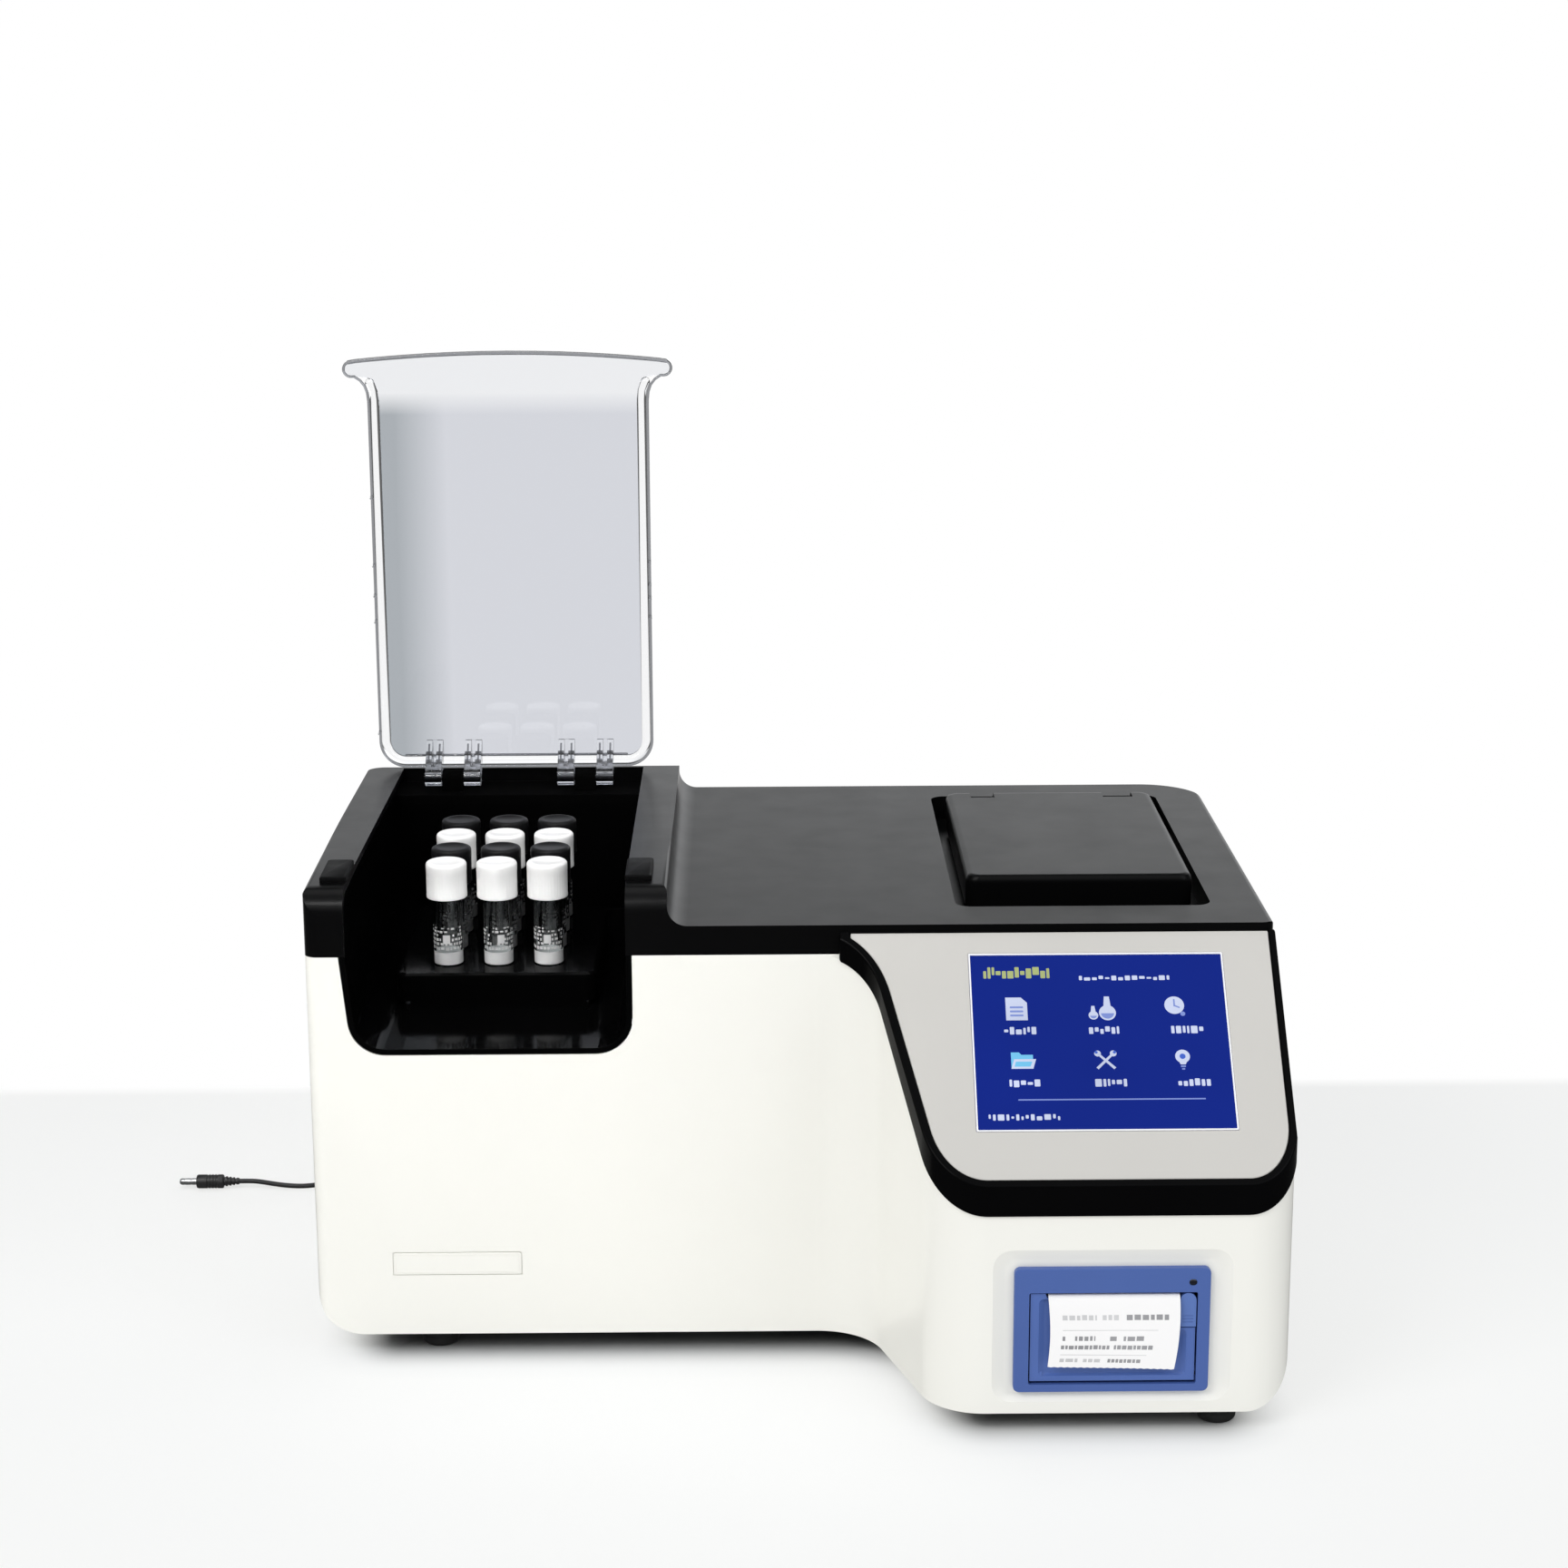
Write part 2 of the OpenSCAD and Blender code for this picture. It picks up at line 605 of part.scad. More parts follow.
// ---------------------------------------------------------------- printer
pf = -fwd;
module printer_bezel() {
    color("#5a76b9") difference() {
        union() {
            fbox(94, 177.6, pf - 0.9, pf + 1.5, 19.5, 76, 2);
            box(96, 176, pf + 1.49, pf + 52, 21, 74);
        }
        // mouth and paper bay
        box(100.4, 172.2, pf - 2, pf + 10, 23.2, 65.2);
        box(98.2, 173.4, pf + 1.6, pf + 49.5, 23, 72);
        rod_x(97.2, 101, daxis_y, daxis_z, 1.2);
        rod_x(171, 174.3, daxis_y, daxis_z, 1.2);
        fbox(167.6, 172.4, pf - 2, pf + 1.9, 68.3, 71.1, 1.3);
    }
    color("#5a76b9") for (x = [[98.2, 100.6], [171.9, 173.4]]) difference() {
        box(x[0], x[1], pf + 1.6, pf + 6, 23, 30.5);
        rod_x(x[0] - 1, x[1] + 1, daxis_y, daxis_z, 1.2);
    }
}

module status_led() {
    color("#20242c") fbox(167.6, 172.4, pf - 1.2, pf + 1.9, 68.3, 71.1, 1.3);
}

module printer_door() {
    color("#4f6cb0") difference() {
        union() {
            along_y(pf, pf + 3) polygon([[101, 24.5], [171.5, 24.5], [171.5, 48.6], [164, 48.6], [164, 62.6], [101, 62.6]]);
            for (x = [[101, 106.5], [166.5, 171.5]]) {
                rod_x(x[0], x[1], daxis_y, daxis_z, 2.4);
            }
            // arms of the platen
            for (x = [[109.8, 112.2], [161.8, 164.2]]) along_x(x[0], x[1]) polygon([
                [pf + 2.9, 34], [pf + 2.9, 48], [pf + 6.2, 48.8], [pf + 6.2, 61.4], [pf + 10.6, 61.4], [pf + 10.6, 52], [pf + 6, 36]]);
        }
        // scoop under the paper
        fbox(105, 167.5, pf - 1, pf + 1.2, 27, 48.4, 2);
        fbox(105, 163, pf - 1, pf + 1.2, 40, 62, 2);
        for (x = [[100, 107], [166, 172]]) rod_x(x[0], x[1], daxis_y, daxis_z, 1.26);
        rod_x(100, 175, pf + 8, 58, 1.56);
    }
}

module platen_roller() {
    color("#2a2a2c") union() {
        rod_x(prn_x - 24.4, prn_x + 24.4, pf + 8, 58, 4.3);
        rod_x(109.8, 164.2, pf + 8, 58, 1.5);
    }
}

module print_head() {
    color("#8d9094") union() {
        box(108, 166, pf + 13.4, pf + 16, 52, 64);
        box(104, 170, pf + 16, pf + 18, 54, 68);
        box(98.2, 173.4, pf + 17, pf + 19.5, 66, 70);
    }
}

module paper_roll() {
    color("#f4f4f0") difference() {
        rod_x(prn_x - paper_w / 2, prn_x + paper_w / 2, pf + 31, 41, roll_r);
        rod_x(prn_x - 40, prn_x + 40, pf + 31, 41, 5.06);
    }
}

module roll_spindle() {
    color("#d7d8d6") rod_x(98.2, 173.4, pf + 31, 41, 5);
}

// Paper strip in the side view: out of the nip, over the door and down the front
strip = [[pf + 12.9, 58.6], [pf + 12.2, 61.2], [pf + 9.5, 63.4], [pf + 5.5, 64.2], [pf + 2.5, 64.3], [pf - 0.8, 63.6], [pf - 2, 61], [pf - 2.4, 54], [pf - 2.5, 44], [pf - 2.3, 36], [pf - 2, 30.5]];
module paper_strip() {
    n = len(strip) - 1;
    color("#f5f5f2") along_x(prn_x - paper_w / 2, prn_x + paper_w / 2) polygon(concat(
        [for (p = strip) p],
        [for (i = [n:-1:0]) let (a = strip[max(i - 1, 0)], b = strip[min(i + 1, n)], d = (b - a) / norm(b - a)) strip[i] + 0.3 * [-d[1], d[0]]]));
}

module release_button() {
    color("#4a66a8") union() {
        along_y(pf - 0.5, pf + 4) polygon(concat([[164.7, 49.2], [171.7, 49.2]], arc([168.2, 59.4], 3.5, 0, 180, 8)));
        // tab that holds it behind the door plate
        box(165.2, 171, pf + 3.3, pf + 4, 45.6, 49.4);
    }
}

// ---------------------------------------------------------------- power and cooling
module mains_inlet() {
    color("#1a1a1c") difference() {
        union() {
            fbox(inlet_x - 25.8, inlet_x + 25.8, body_back - 1.6, body_back, inlet_z - 14.8, inlet_z + 14.8, 2);
            box(inlet_x - 22, inlet_x + 22, body_back - 30, body_back - 1.59, inlet_z - 12, inlet_z + 12);
        }
        fbox(inlet_x - 20, inlet_x + 5, body_back - 18, body_back + 1, inlet_z - 9, inlet_z + 9, 3);
        box(inlet_x + 9, inlet_x + 20, body_back - 16, body_back + 1, inlet_z - 9.5, inlet_z + 9.5);
        rod_x(inlet_x + 7, inlet_x + 21.5, body_back - 9, inlet_z, 1.3);
    }
}

module inlet_pins() {
    color("#c6c8ca") for (p = [[-14.5, 2], [-7.5, -2], [-0.5, 2]])
        box(inlet_x + p[0] - 1, inlet_x + p[0] + 1, body_back - 18, body_back - 3, inlet_z + p[1] - 2, inlet_z + p[1] + 2);
}

rocker_tilt = 7;
module power_switch() {
    color("#26272a") translate([0, body_back - 9, inlet_z]) rotate([rocker_tilt, 0, 0]) union() {
        along_x(inlet_x + 9.5, inlet_x + 19.5) polygon([[-2.5, -3], [-2.5, 3], [4, 8.2], [8, 8.2], [7, 0], [8, -8.2], [4, -8.2]]);
        rod_x(inlet_x + 7.5, inlet_x + 21, 0, 0, 1.25);
    }
}

module fan_frame() {
    color("#1a1a1c") difference() {
        union() {
            difference() {
                fbox(fan_x - 30, fan_x + 30, body_back - 18.2, body_back - 3.2, fan_z - 30, fan_z + 30, 3);
                rod_y(fan_x, body_back - 20, body_back, fan_z, 28.5);
            }
            rod_y(fan_x, body_back - 18.2, body_back - 16.2, fan_z, 13);
            for (a = [0, 120, 240]) translate([fan_x, 0, fan_z]) rotate([0, a, 0]) box(-1.5, 1.5, body_back - 18.2, body_back - 16.2, 12, 29);
            rod_y(fan_x, body_back - 18.2, body_back - 8, fan_z, 2);
        }
        for (i = [-1, 1], j = [-1, 1]) rod_y(fan_x + 25 * i, body_back - 20, body_back, fan_z + 25 * j, 2.05);
    }
}

module fan_rotor() {
    color("#2a2b2e") difference() {
        union() {
            rod_y(fan_x, body_back - 15.8, body_back - 4.2, fan_z, 12.5);
            intersection() {
                rod_y(fan_x, body_back - 15.6, body_back - 4.4, fan_z, 27.8);
                for (a = [0:360 / 7:359]) translate([fan_x, body_back - 10, fan_z]) rotate([0, a, 0]) rotate([0, 0, 38]) box(-8, 8, -0.8, 0.8, 11.5, 30);
            }
        }
        rod_y(fan_x, body_back - 17, body_back - 6, fan_z, 2.05);
        rod_y(fan_x, body_back - 17, body_back - 12, fan_z, 11);
    }
}

module power_supply() {
    color("#a9abad") union() {
        box(-30, 70, 160, 230, 16.5, 18.5);
        box(-30, 70, 160, 161.5, 18.5, 56);
        box(-26, 66, 164, 226, 22, 23.6);
        box(-20, 10, 170, 205, 23.59, 52);
        box(20, 60, 200, 222, 23.59, 46);
        rod_z(35, 178, 23.59, 50, 9);
        for (x = [-22, 62], y = [168, 222]) rod_z(x, y, 18.49, 22.01, 3);
        for (x = [-22, 62], y = [168, 222]) rod_z(x, y, foot_h + 3, 16.51, 3);
    }
}

// ---------------------------------------------------------------- lead
sock_y = 207;
sock_z = 46;
module side_socket() {
    color("#2a2a2c") difference() {
        box(-hw, -hw + 15, sock_y - 5.3, sock_y + 5.3, sock_z - 5.3, sock_z + 5.3);
        box(-hw - 1, -hw + 10, sock_y - 4, sock_y + 4, sock_z - 2.6, sock_z + 2.6);
    }
}

plug_x = -hw - 7;
lead_top = 22;
module lead_plug() {
    color("#1a1a1b") union() {
        box(-hw - 0.1, -hw + 8, sock_y - 3.6, sock_y + 3.6, sock_z - 2.2, sock_z + 2.2);
        rbox(plug_x - 5.5, -hw, sock_y - 5.5, sock_y + 5.5, 36, sock_z + 5, 1.5);
        translate([plug_x, sock_y, lead_top]) cylinder(r1 = lead_d / 2 + 0.6, r2 = 3.4, h = 36 - lead_top + 0.01);
    }
}

lz = lead_d / 2 + 0.05;
coil_c = [-170, 282];
coil_r = 5.5 * lead_d;
// Route of the lead from the plug to the coil
route = [[-222, 207, 22], [-222, 207, 18], [-222, 207.3, 14], [-222.2, 208.6, 10], [-222.6, 211.4, 6.4], [-223, 215.8, 3.6],
    [-223.4, 221.4, 1.9], [-223.8, 228, lz], [-224, 235, lz], [-223.4, 242, lz], [-221.2, 249, lz], [-217, 255.2, lz], [-211, 259.8, lz],
    [-203.6, 262.8, lz], [-195, 264.2, lz], [-185, 264.5, lz], [-174, 264.5, lz]];
// From the coil round the rear corner to the plug at the far end
tail = [[-174, 297, 8.8], [-182, 296.6, 8.6], [-190, 295.6, 7.6], [-198, 293.8, 5.8], [-205.5, 291, 3.8], [-212.4, 287, 2.2], [-218.4, 281.8, lz],
    [-223.4, 275.4, lz], [-227.2, 268, lz], [-229.8, 260, lz], [-231.2, 251.5, lz], [-231.6, 243, lz], [-231.6, 234.5, lz], [-232.2, 226, lz],
    [-234.4, 218.4, lz], [-238.8, 212.2, lz], [-245, 208.4, lz], [-252, 206.9, lz], [-259, 206.9, 1.6], [-266, 207.4, 2.3], [-272, 208, 3.1],
    [-276.5, 208.4, 3.55], [-280.5, 208.5, 3.65], [-284.94, 208.5, 3.65]];

function unit(v) = v / norm(v);
function tang(p, i) = unit(p[min(i + 1, len(p) - 1)] - p[max(i - 1, 0)]);
function side(p, i, n0) = i == 0 ? unit(n0 - (n0 * tang(p, 0)) * tang(p, 0)) : let (q = side(p, i - 1, n0), t = tang(p, i)) unit(q - (q * t) * t);

// Closed tube of 8 sides along the points p
module tube(p, r, n0) {
    m = 8;
    n = len(p);
    pts = [for (i = [0:n - 1]) let (t = tang(p, i), a = side(p, i, n0), b = cross(t, a)) for (k = [0:m - 1]) p[i] + r * (cos(360 * k / m) * a + sin(360 * k / m) * b)];
    faces = concat(
        [for (i = [0:n - 2], k = [0:m - 1]) let (j = (k + 1) % m) [i * m + k, (i + 1) * m + k, (i + 1) * m + j, i * m + j]],
        [[for (k = [0:m - 1]) k]], [[for (k = [m - 1:-1:0]) (n - 1) * m + k]]);
    polyhedron(pts, faces);
}

module lead_run() {
    color("#18181a") tube(route, lead_d / 2, [0, 1, 0]);
}

module lead_coil() {
    color("#18181a") translate([coil_c[0], coil_c[1], 0.05]) rotate_extrude()
        translate([coil_r - 2 * lead_d, 0]) square([4 * lead_d, 4 * lead_d]);
}

module lead_tail() {
    color("#18181a") tube(tail, lead_d / 2, [0, 1, 0]);
}

module lead_end_plug() {
    color("#1a1a1b") translate([-285, 208.5, 3.65]) rotate([0, -90, 0]) union() {
        cylinder(r1 = lead_d / 2 + 0.4, r2 = 2.8, h = 8.01);
        translate([0, 0, 8]) cylinder(r = 3.6, h = 14);
    }
    color("#c6c8ca") translate([-307, 208.5, 3.65]) rotate([0, -90, 0]) cylinder(r = 1.75, h = 9);
}

module at() { translate([0, -y_mid, 0]) children(); }

at() body_shell();
at() base_plate();
at() rubber_feet();
at() case_screws();
at() name_plate();
at() top_cover();
at() hinge_knuckles();
at() hinge_pins();
at() lid_rest_pads();
at() well_liner();
at() block_cover();
at() heating_block();
at() heater_plate();
at() block_jacket();
at() temperature_probe();
at() vial(-1, 0, "#f3f3f0");  // vial_a1
at() vial(0, 0, "#f3f3f0");  // vial_a2
at() vial(1, 0, "#f3f3f0");  // vial_a3
at() vial(-1, 1, "#1d1d1f");  // vial_b1
at() vial(0, 1, "#1d1d1f");  // vial_b2
at() vial(1, 1, "#1d1d1f");  // vial_b3
at() vial(-1, 2, "#f3f3f0");  // vial_c1
at() vial(0, 2, "#f3f3f0");  // vial_c2
at() vial(1, 2, "#f3f3f0");  // vial_c3
at() vial(-1, 3, "#1d1d1f");  // vial_d1
at() vial(0, 3, "#1d1d1f");  // vial_d2
at() vial(1, 3, "#1d1d1f");  // vial_d3
at() clear_lid();
at() cuvette_lid();
at() lid_seal();
at() cuvette_holder();
at() light_source();
at() filter_wheel();
at() filter_motor();
at() detector_board();
at() console_frame();
at() console_panel();
at() touch_screen();
at() main_board();
at() printer_bezel();
at() status_led();
at() printer_door();
at() platen_roller();
at() print_head();
at() paper_roll();
at() roll_spindle();
at() paper_strip();
at() release_button();
at() mains_inlet();
at() inlet_pins();
at() power_switch();
at() fan_frame();
at() fan_rotor();
at() power_supply();
at() side_socket();
at() lead_plug();
at() lead_run();
at() lead_coil();
at() lead_tail();
at() lead_end_plug();
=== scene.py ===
import math
import random

import bmesh
import bpy
from mathutils import Matrix, Vector


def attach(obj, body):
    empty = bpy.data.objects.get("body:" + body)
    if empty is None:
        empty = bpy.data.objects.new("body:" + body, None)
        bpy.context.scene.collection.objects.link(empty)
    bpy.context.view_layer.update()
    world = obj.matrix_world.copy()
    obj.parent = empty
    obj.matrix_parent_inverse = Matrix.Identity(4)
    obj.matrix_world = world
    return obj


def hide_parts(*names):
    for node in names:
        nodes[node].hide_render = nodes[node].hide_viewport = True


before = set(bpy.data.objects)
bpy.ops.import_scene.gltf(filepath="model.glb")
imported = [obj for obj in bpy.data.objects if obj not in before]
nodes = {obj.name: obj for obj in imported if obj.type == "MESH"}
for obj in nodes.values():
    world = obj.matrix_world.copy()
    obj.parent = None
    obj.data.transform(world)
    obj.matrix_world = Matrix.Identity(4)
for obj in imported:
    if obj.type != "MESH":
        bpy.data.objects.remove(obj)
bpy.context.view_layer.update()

scene = bpy.context.scene

# Shapes are drawn in millimetres with y = 0 on the left front face, then moved to the row frame.
Y_MID = 82.0
TO_ROW = Matrix.Translation((0, -Y_MID / 1000, 0)) @ Matrix.Scale(0.001, 4)


def row(x, y, z):
    return Vector((x / 1000, (y - Y_MID) / 1000, z / 1000))


# ------------------------------------------------------------------ camera
def make_camera():
    data = bpy.data.cameras.new("camera")
    data.sensor_width = 36.0
    data.lens = 70.833
    data.clip_start, data.clip_end = 0.05, 60.0
    cam = bpy.data.objects.new("camera", data)
    scene.collection.objects.link(cam)
    pitch, yaw, roll = math.radians(13.878), math.radians(-0.5813), math.radians(-0.2188)
    cam.matrix_world = (
        Matrix.Translation((-0.0154, -1.3898, 0.5899))
        @ Matrix.Rotation(yaw, 4, "Z")
        @ Matrix.Rotation(math.pi / 2 - pitch, 4, "X")
        @ Matrix.Rotation(roll, 4, "Z")
    )
    scene.camera = cam


make_camera()


# ------------------------------------------------------------------ material helpers
class Nodes:
    def __init__(self, name):
        self.mat = bpy.data.materials.new(name)
        self.mat.use_nodes = True
        self.t = self.mat.node_tree
        self.p = self.t.nodes["Principled BSDF"]
        self.out = self.t.nodes["Material Output"]
        self.coord = self.t.nodes.new("ShaderNodeTexCoord")

    def add(self, kind, **values):
        n = self.t.nodes.new(kind)
        for k, v in values.items():
            if k in n.inputs:
                n.inputs[k].default_value = v
            else:
                setattr(n, k, v)
        return n

    def link(self, a, b):
        self.t.links.new(a, b)

    def noise(self, scale, detail=3.0, rough=0.5, stretch=None):
        n = self.add("ShaderNodeTexNoise", Scale=scale, Detail=detail, Roughness=rough)
        if stretch:
            m = self.add("ShaderNodeMapping")
            m.inputs["Scale"].default_value = stretch
            self.link(self.coord.outputs["Object"], m.inputs["Vector"])
            self.link(m.outputs["Vector"], n.inputs["Vector"])
        else:
            self.link(self.coord.outputs["Object"], n.inputs["Vector"])
        return n.outputs["Fac"]

    def ramp(self, fac, lo, hi, a=0.35, b=0.65):
        r = self.add("ShaderNodeValToRGB")
        r.color_ramp.elements[0].position, r.color_ramp.elements[1].position = a, b
        r.color_ramp.elements[0].color = (*lo, 1)
        r.color_ramp.elements[1].color = (*hi, 1)
        self.link(fac, r.inputs["Fac"])
        return r.outputs["Color"]

    def span(self, fac, lo, hi, a=0.3, b=0.7):
        m = self.add("ShaderNodeMapRange")
        for k, v in zip(("From Min", "From Max", "To Min", "To Max"), (a, b, lo, hi)):
            m.inputs[k].default_value = v
        self.link(fac, m.inputs["Value"])
        return m.outputs["Result"]

    def bump(self, height, strength, distance=0.0002):
        b = self.add("ShaderNodeBump", Strength=strength, Distance=distance)
        self.link(height, b.inputs["Height"])
        self.link(b.outputs["Normal"], self.p.inputs["Normal"])


def moulded(name, color, rough=0.35, spread=0.05, grain=1400, bump=0.12, spec=0.5, coat=0.0, coat_rough=0.08, tint=0.03, metal=0.0):
    """Moulded or painted surface: slight cloudiness, uneven gloss and a fine mould grain."""
    k = Nodes(name)
    lo = tuple(max(0.0, c * (1 - tint)) for c in color)
    hi = tuple(min(1.0, c * (1 + tint)) for c in color)
    k.link(k.ramp(k.noise(9.0, 4), lo, hi), k.p.inputs["Base Color"])
    k.link(k.span(k.noise(45.0, 5, 0.6), rough - spread, rough + spread), k.p.inputs["Roughness"])
    k.bump(k.noise(grain, 2, 0.6), bump, 0.00008)
    k.p.inputs["Specular IOR Level"].default_value = spec
    k.p.inputs["Coat Weight"].default_value = coat
    k.p.inputs["Coat Roughness"].default_value = coat_rough
    k.p.inputs["Metallic"].default_value = metal
    return k.mat


def brushed(name, color, rough=0.3, stretch=(1, 60, 60)):
    """Drawn or turned metal with lines along one way."""
    k = Nodes(name)
    lines = k.noise(160.0, 4, 0.6, stretch)
    k.link(k.ramp(lines, tuple(c * 0.88 for c in color), color), k.p.inputs["Base Color"])
    k.link(k.span(lines, rough - 0.08, rough + 0.1), k.p.inputs["Roughness"])
    k.bump(lines, 0.15, 0.00005)
    k.p.inputs["Metallic"].default_value = 1.0
    return k.mat


def clear(name, color, ior, shade, rough_lo=0.0, rough_hi=0.02, spec=0.5):
    """Clear solid that lets lamps through, with faint smears in its gloss."""
    k = see_through(Nodes(name), color, ior, shade, rough_lo, rough_hi)
    k.p.inputs["Specular IOR Level"].default_value = spec
    return k.mat


def painted_reflection_clear(name, color, side, end):
    """Clear sheet with painted reflections: a little darker down one side and paler at the free end."""
    k = see_through(Nodes(name), color, 1.49, (0.8, 0.82, 0.86), 0.0, 0.02)
    sep = k.add("ShaderNodeSeparateXYZ")
    k.link(k.coord.outputs["Object"], sep.inputs["Vector"])
    # painted reflection: the colour darkens towards the lid's left side and turns paler near its top end
    across = k.ramp(k.span(sep.outputs["X"], 0.0, 1.0, -0.196, -0.17), side, color, 0.0, 1.0)
    mix = k.add("ShaderNodeMix", data_type="RGBA")
    k.link(k.span(sep.outputs["Z"], 0.0, 1.0, 0.398, 0.409), mix.inputs[0])
    k.link(across, mix.inputs[6])
    mix.inputs[7].default_value = (*end, 1)
    k.link(mix.outputs[2], k.p.inputs["Base Color"])
    return k.mat


def see_through(k, color, ior, shade, rough_lo, rough_hi):
    k.p.inputs["Base Color"].default_value = (*color, 1)
    k.p.inputs["Transmission Weight"].default_value = 1.0
    k.p.inputs["IOR"].default_value = ior
    k.link(k.span(k.noise(22.0, 4), rough_lo, rough_hi), k.p.inputs["Roughness"])
    k.bump(k.noise(14.0, 2), 0.03, 0.0006)
    see = k.add("ShaderNodeBsdfTransparent")
    see.inputs["Color"].default_value = (*shade, 1)
    path = k.add("ShaderNodeLightPath")
    mix = k.add("ShaderNodeMixShader")
    k.link(path.outputs["Is Shadow Ray"], mix.inputs["Fac"])
    k.link(k.p.outputs["BSDF"], mix.inputs[1])
    k.link(see.outputs["BSDF"], mix.inputs[2])
    k.link(mix.outputs["Shader"], k.out.inputs["Surface"])
    return k


def lit(name, color, glow, rough=0.12, spread=0.04, shade=0.85, spec=0.2):
    """Lit display element under gloss, with a slight unevenness of the back light."""
    k = Nodes(name)
    k.p.inputs["Base Color"].default_value = (*[c * 0.25 for c in color], 1)
    k.link(k.ramp(k.noise(16.0, 2), tuple(c * shade for c in color), color), k.p.inputs["Emission Color"])
    k.p.inputs["Emission Strength"].default_value = glow
    k.link(k.span(k.noise(60.0, 3), rough - spread, rough + spread), k.p.inputs["Roughness"])
    k.p.inputs["Specular IOR Level"].default_value = spec
    return k.mat


M = {}
M["white"] = moulded("white_housing", (0.845, 0.838, 0.79), 0.34, 0.05, 1500, 0.06, 0.5, 0.15, 0.12, 0.012)
M["black"] = moulded("black_cover", (0.0022, 0.0022, 0.0024), 0.3, 0.02, 1900, 0.06, 0.075, 0.0, 0.1, 0.15)
M["gloss"] = moulded("black_gloss", (0.0018, 0.0018, 0.002), 0.16, 0.04, 1100, 0.02, 0.03, 0.0, 0.1, 0.2)
M["liner"] = moulded("well_black", (0.0012, 0.0012, 0.0013), 0.09, 0.03, 900, 0.02, 0.03, 0.0, 0.1, 0.2)
M["block"] = moulded("block_black", (0.0012, 0.0012, 0.0013), 0.09, 0.03, 1600, 0.03, 0.03, 0.0, 0.1, 0.2)
M["panel"] = moulded("panel_lacquer", (0.545, 0.532, 0.505), 0.38, 0.05, 2600, 0.09, 0.5, 0.08, 0.2, 0.02)
# painted highlight: pale colour for a thin ring that stands in for light caught on the screen window's cut edge
M["trim"] = moulded("screen_trim", (0.88, 0.89, 0.93), 0.3, 0.05, 1500, 0.05, 0.5, 0.2, 0.1, 0.02)
M["blue"] = moulded("printer_blue", (0.06, 0.118, 0.365), 0.4, 0.05, 1700, 0.15, 0.4, 0.0, 0.1, 0.04)
# painted light: the door and button blues are lighter copies of the one printer blue, for the brighter light low on the
# front
M["blue_in"] = moulded("printer_blue_door_painted_light", (0.073, 0.139, 0.41), 0.42, 0.05, 1700, 0.15, 0.4, 0.0, 0.1, 0.05)
M["blue_key"] = moulded("printer_blue_button_painted_light", (0.092, 0.168, 0.448), 0.36, 0.05, 1700, 0.12, 0.45, 0.0, 0.1, 0.04)
M["rubber"] = moulded("rubber", (0.012, 0.012, 0.0125), 0.72, 0.08, 1300, 0.35, 0.3, 0.0, 0.1, 0.2)
M["pad"] = moulded("rest_pad", (0.0022, 0.0022, 0.0024), 0.55, 0.08, 1500, 0.25, 0.05, 0.0, 0.1, 0.2)
M["cap_white"] = moulded("cap_white", (0.93, 0.925, 0.915), 0.36, 0.06, 1600, 0.1, 0.5, 0.1, 0.15, 0.012)
M["cap_black"] = moulded("cap_black", (0.007, 0.007, 0.0075), 0.4, 0.06, 1600, 0.12, 0.12, 0.0, 0.1, 0.15)
M["ink"] = moulded("vial_ink", (0.72, 0.72, 0.72), 0.5, 0.1, 2500, 0.15, 0.4, 0.0, 0.1, 0.1)
# painted shade: a dark grey copy of the vial ink for the marks on the rear rows, which sit in shade
M["ink_painted_shade"] = moulded("vial_ink_painted_shade", (0.2, 0.2, 0.2), 0.55, 0.1, 2500, 0.15, 0.3, 0.0, 0.1, 0.3)
M["ledge"] = moulded("ledge_black", (0.0014, 0.0014, 0.0015), 0.75, 0.05, 1300, 0.1, 0.008, 0.0, 0.1, 0.2)
M["paper"] = moulded("thermal_paper", (0.88, 0.872, 0.875), 0.62, 0.06, 2600, 0.25, 0.4, 0.0, 0.1, 0.015)
M["toner"] = moulded("print_grey", (0.23, 0.23, 0.24), 0.65, 0.06, 3000, 0.2, 0.3, 0.0, 0.1, 0.5)
M["toner_pale"] = moulded("print_pale", (0.5, 0.5, 0.51), 0.65, 0.06, 3000, 0.2, 0.3, 0.0, 0.1, 0.3)
M["lead"] = moulded("lead_sheath", (0.014, 0.014, 0.015), 0.5, 0.08, 1500, 0.25, 0.4, 0.0, 0.1, 0.15)
M["plug"] = moulded("plug_black", (0.016, 0.016, 0.017), 0.46, 0.07, 1500, 0.25, 0.45, 0.0, 0.1, 0.15)
M["board"] = moulded("board_green", (0.03, 0.15, 0.06), 0.4, 0.08, 700, 0.1, 0.5, 0.0, 0.1, 0.15)
M["felt"] = moulded("felt", (0.6, 0.55, 0.45), 0.85, 0.05, 800, 0.6, 0.2, 0.0, 0.1, 0.08)
M["heater"] = moulded("heater_mat", (0.42, 0.16, 0.05), 0.6, 0.08, 900, 0.3, 0.3, 0.0, 0.1, 0.1)
M["dark_metal"] = moulded("anodised_black", (0.02, 0.02, 0.022), 0.4, 0.08, 1800, 0.15, 0.5, 0.0, 0.1, 0.15, 0.6)
M["steel"] = brushed("steel", (0.6, 0.61, 0.62), 0.28)
M["alu"] = brushed("aluminium", (0.66, 0.67, 0.68), 0.34)
M["zinc"] = brushed("zinc_sheet", (0.5, 0.51, 0.52), 0.42, (30, 30, 1))
M["pins"] = brushed("plated_pins", (0.7, 0.68, 0.6), 0.26)
M["inner_black"] = moulded("inner_black", (0.012, 0.012, 0.0125), 0.5, 0.08, 1300, 0.2, 0.4, 0.0, 0.1, 0.15)
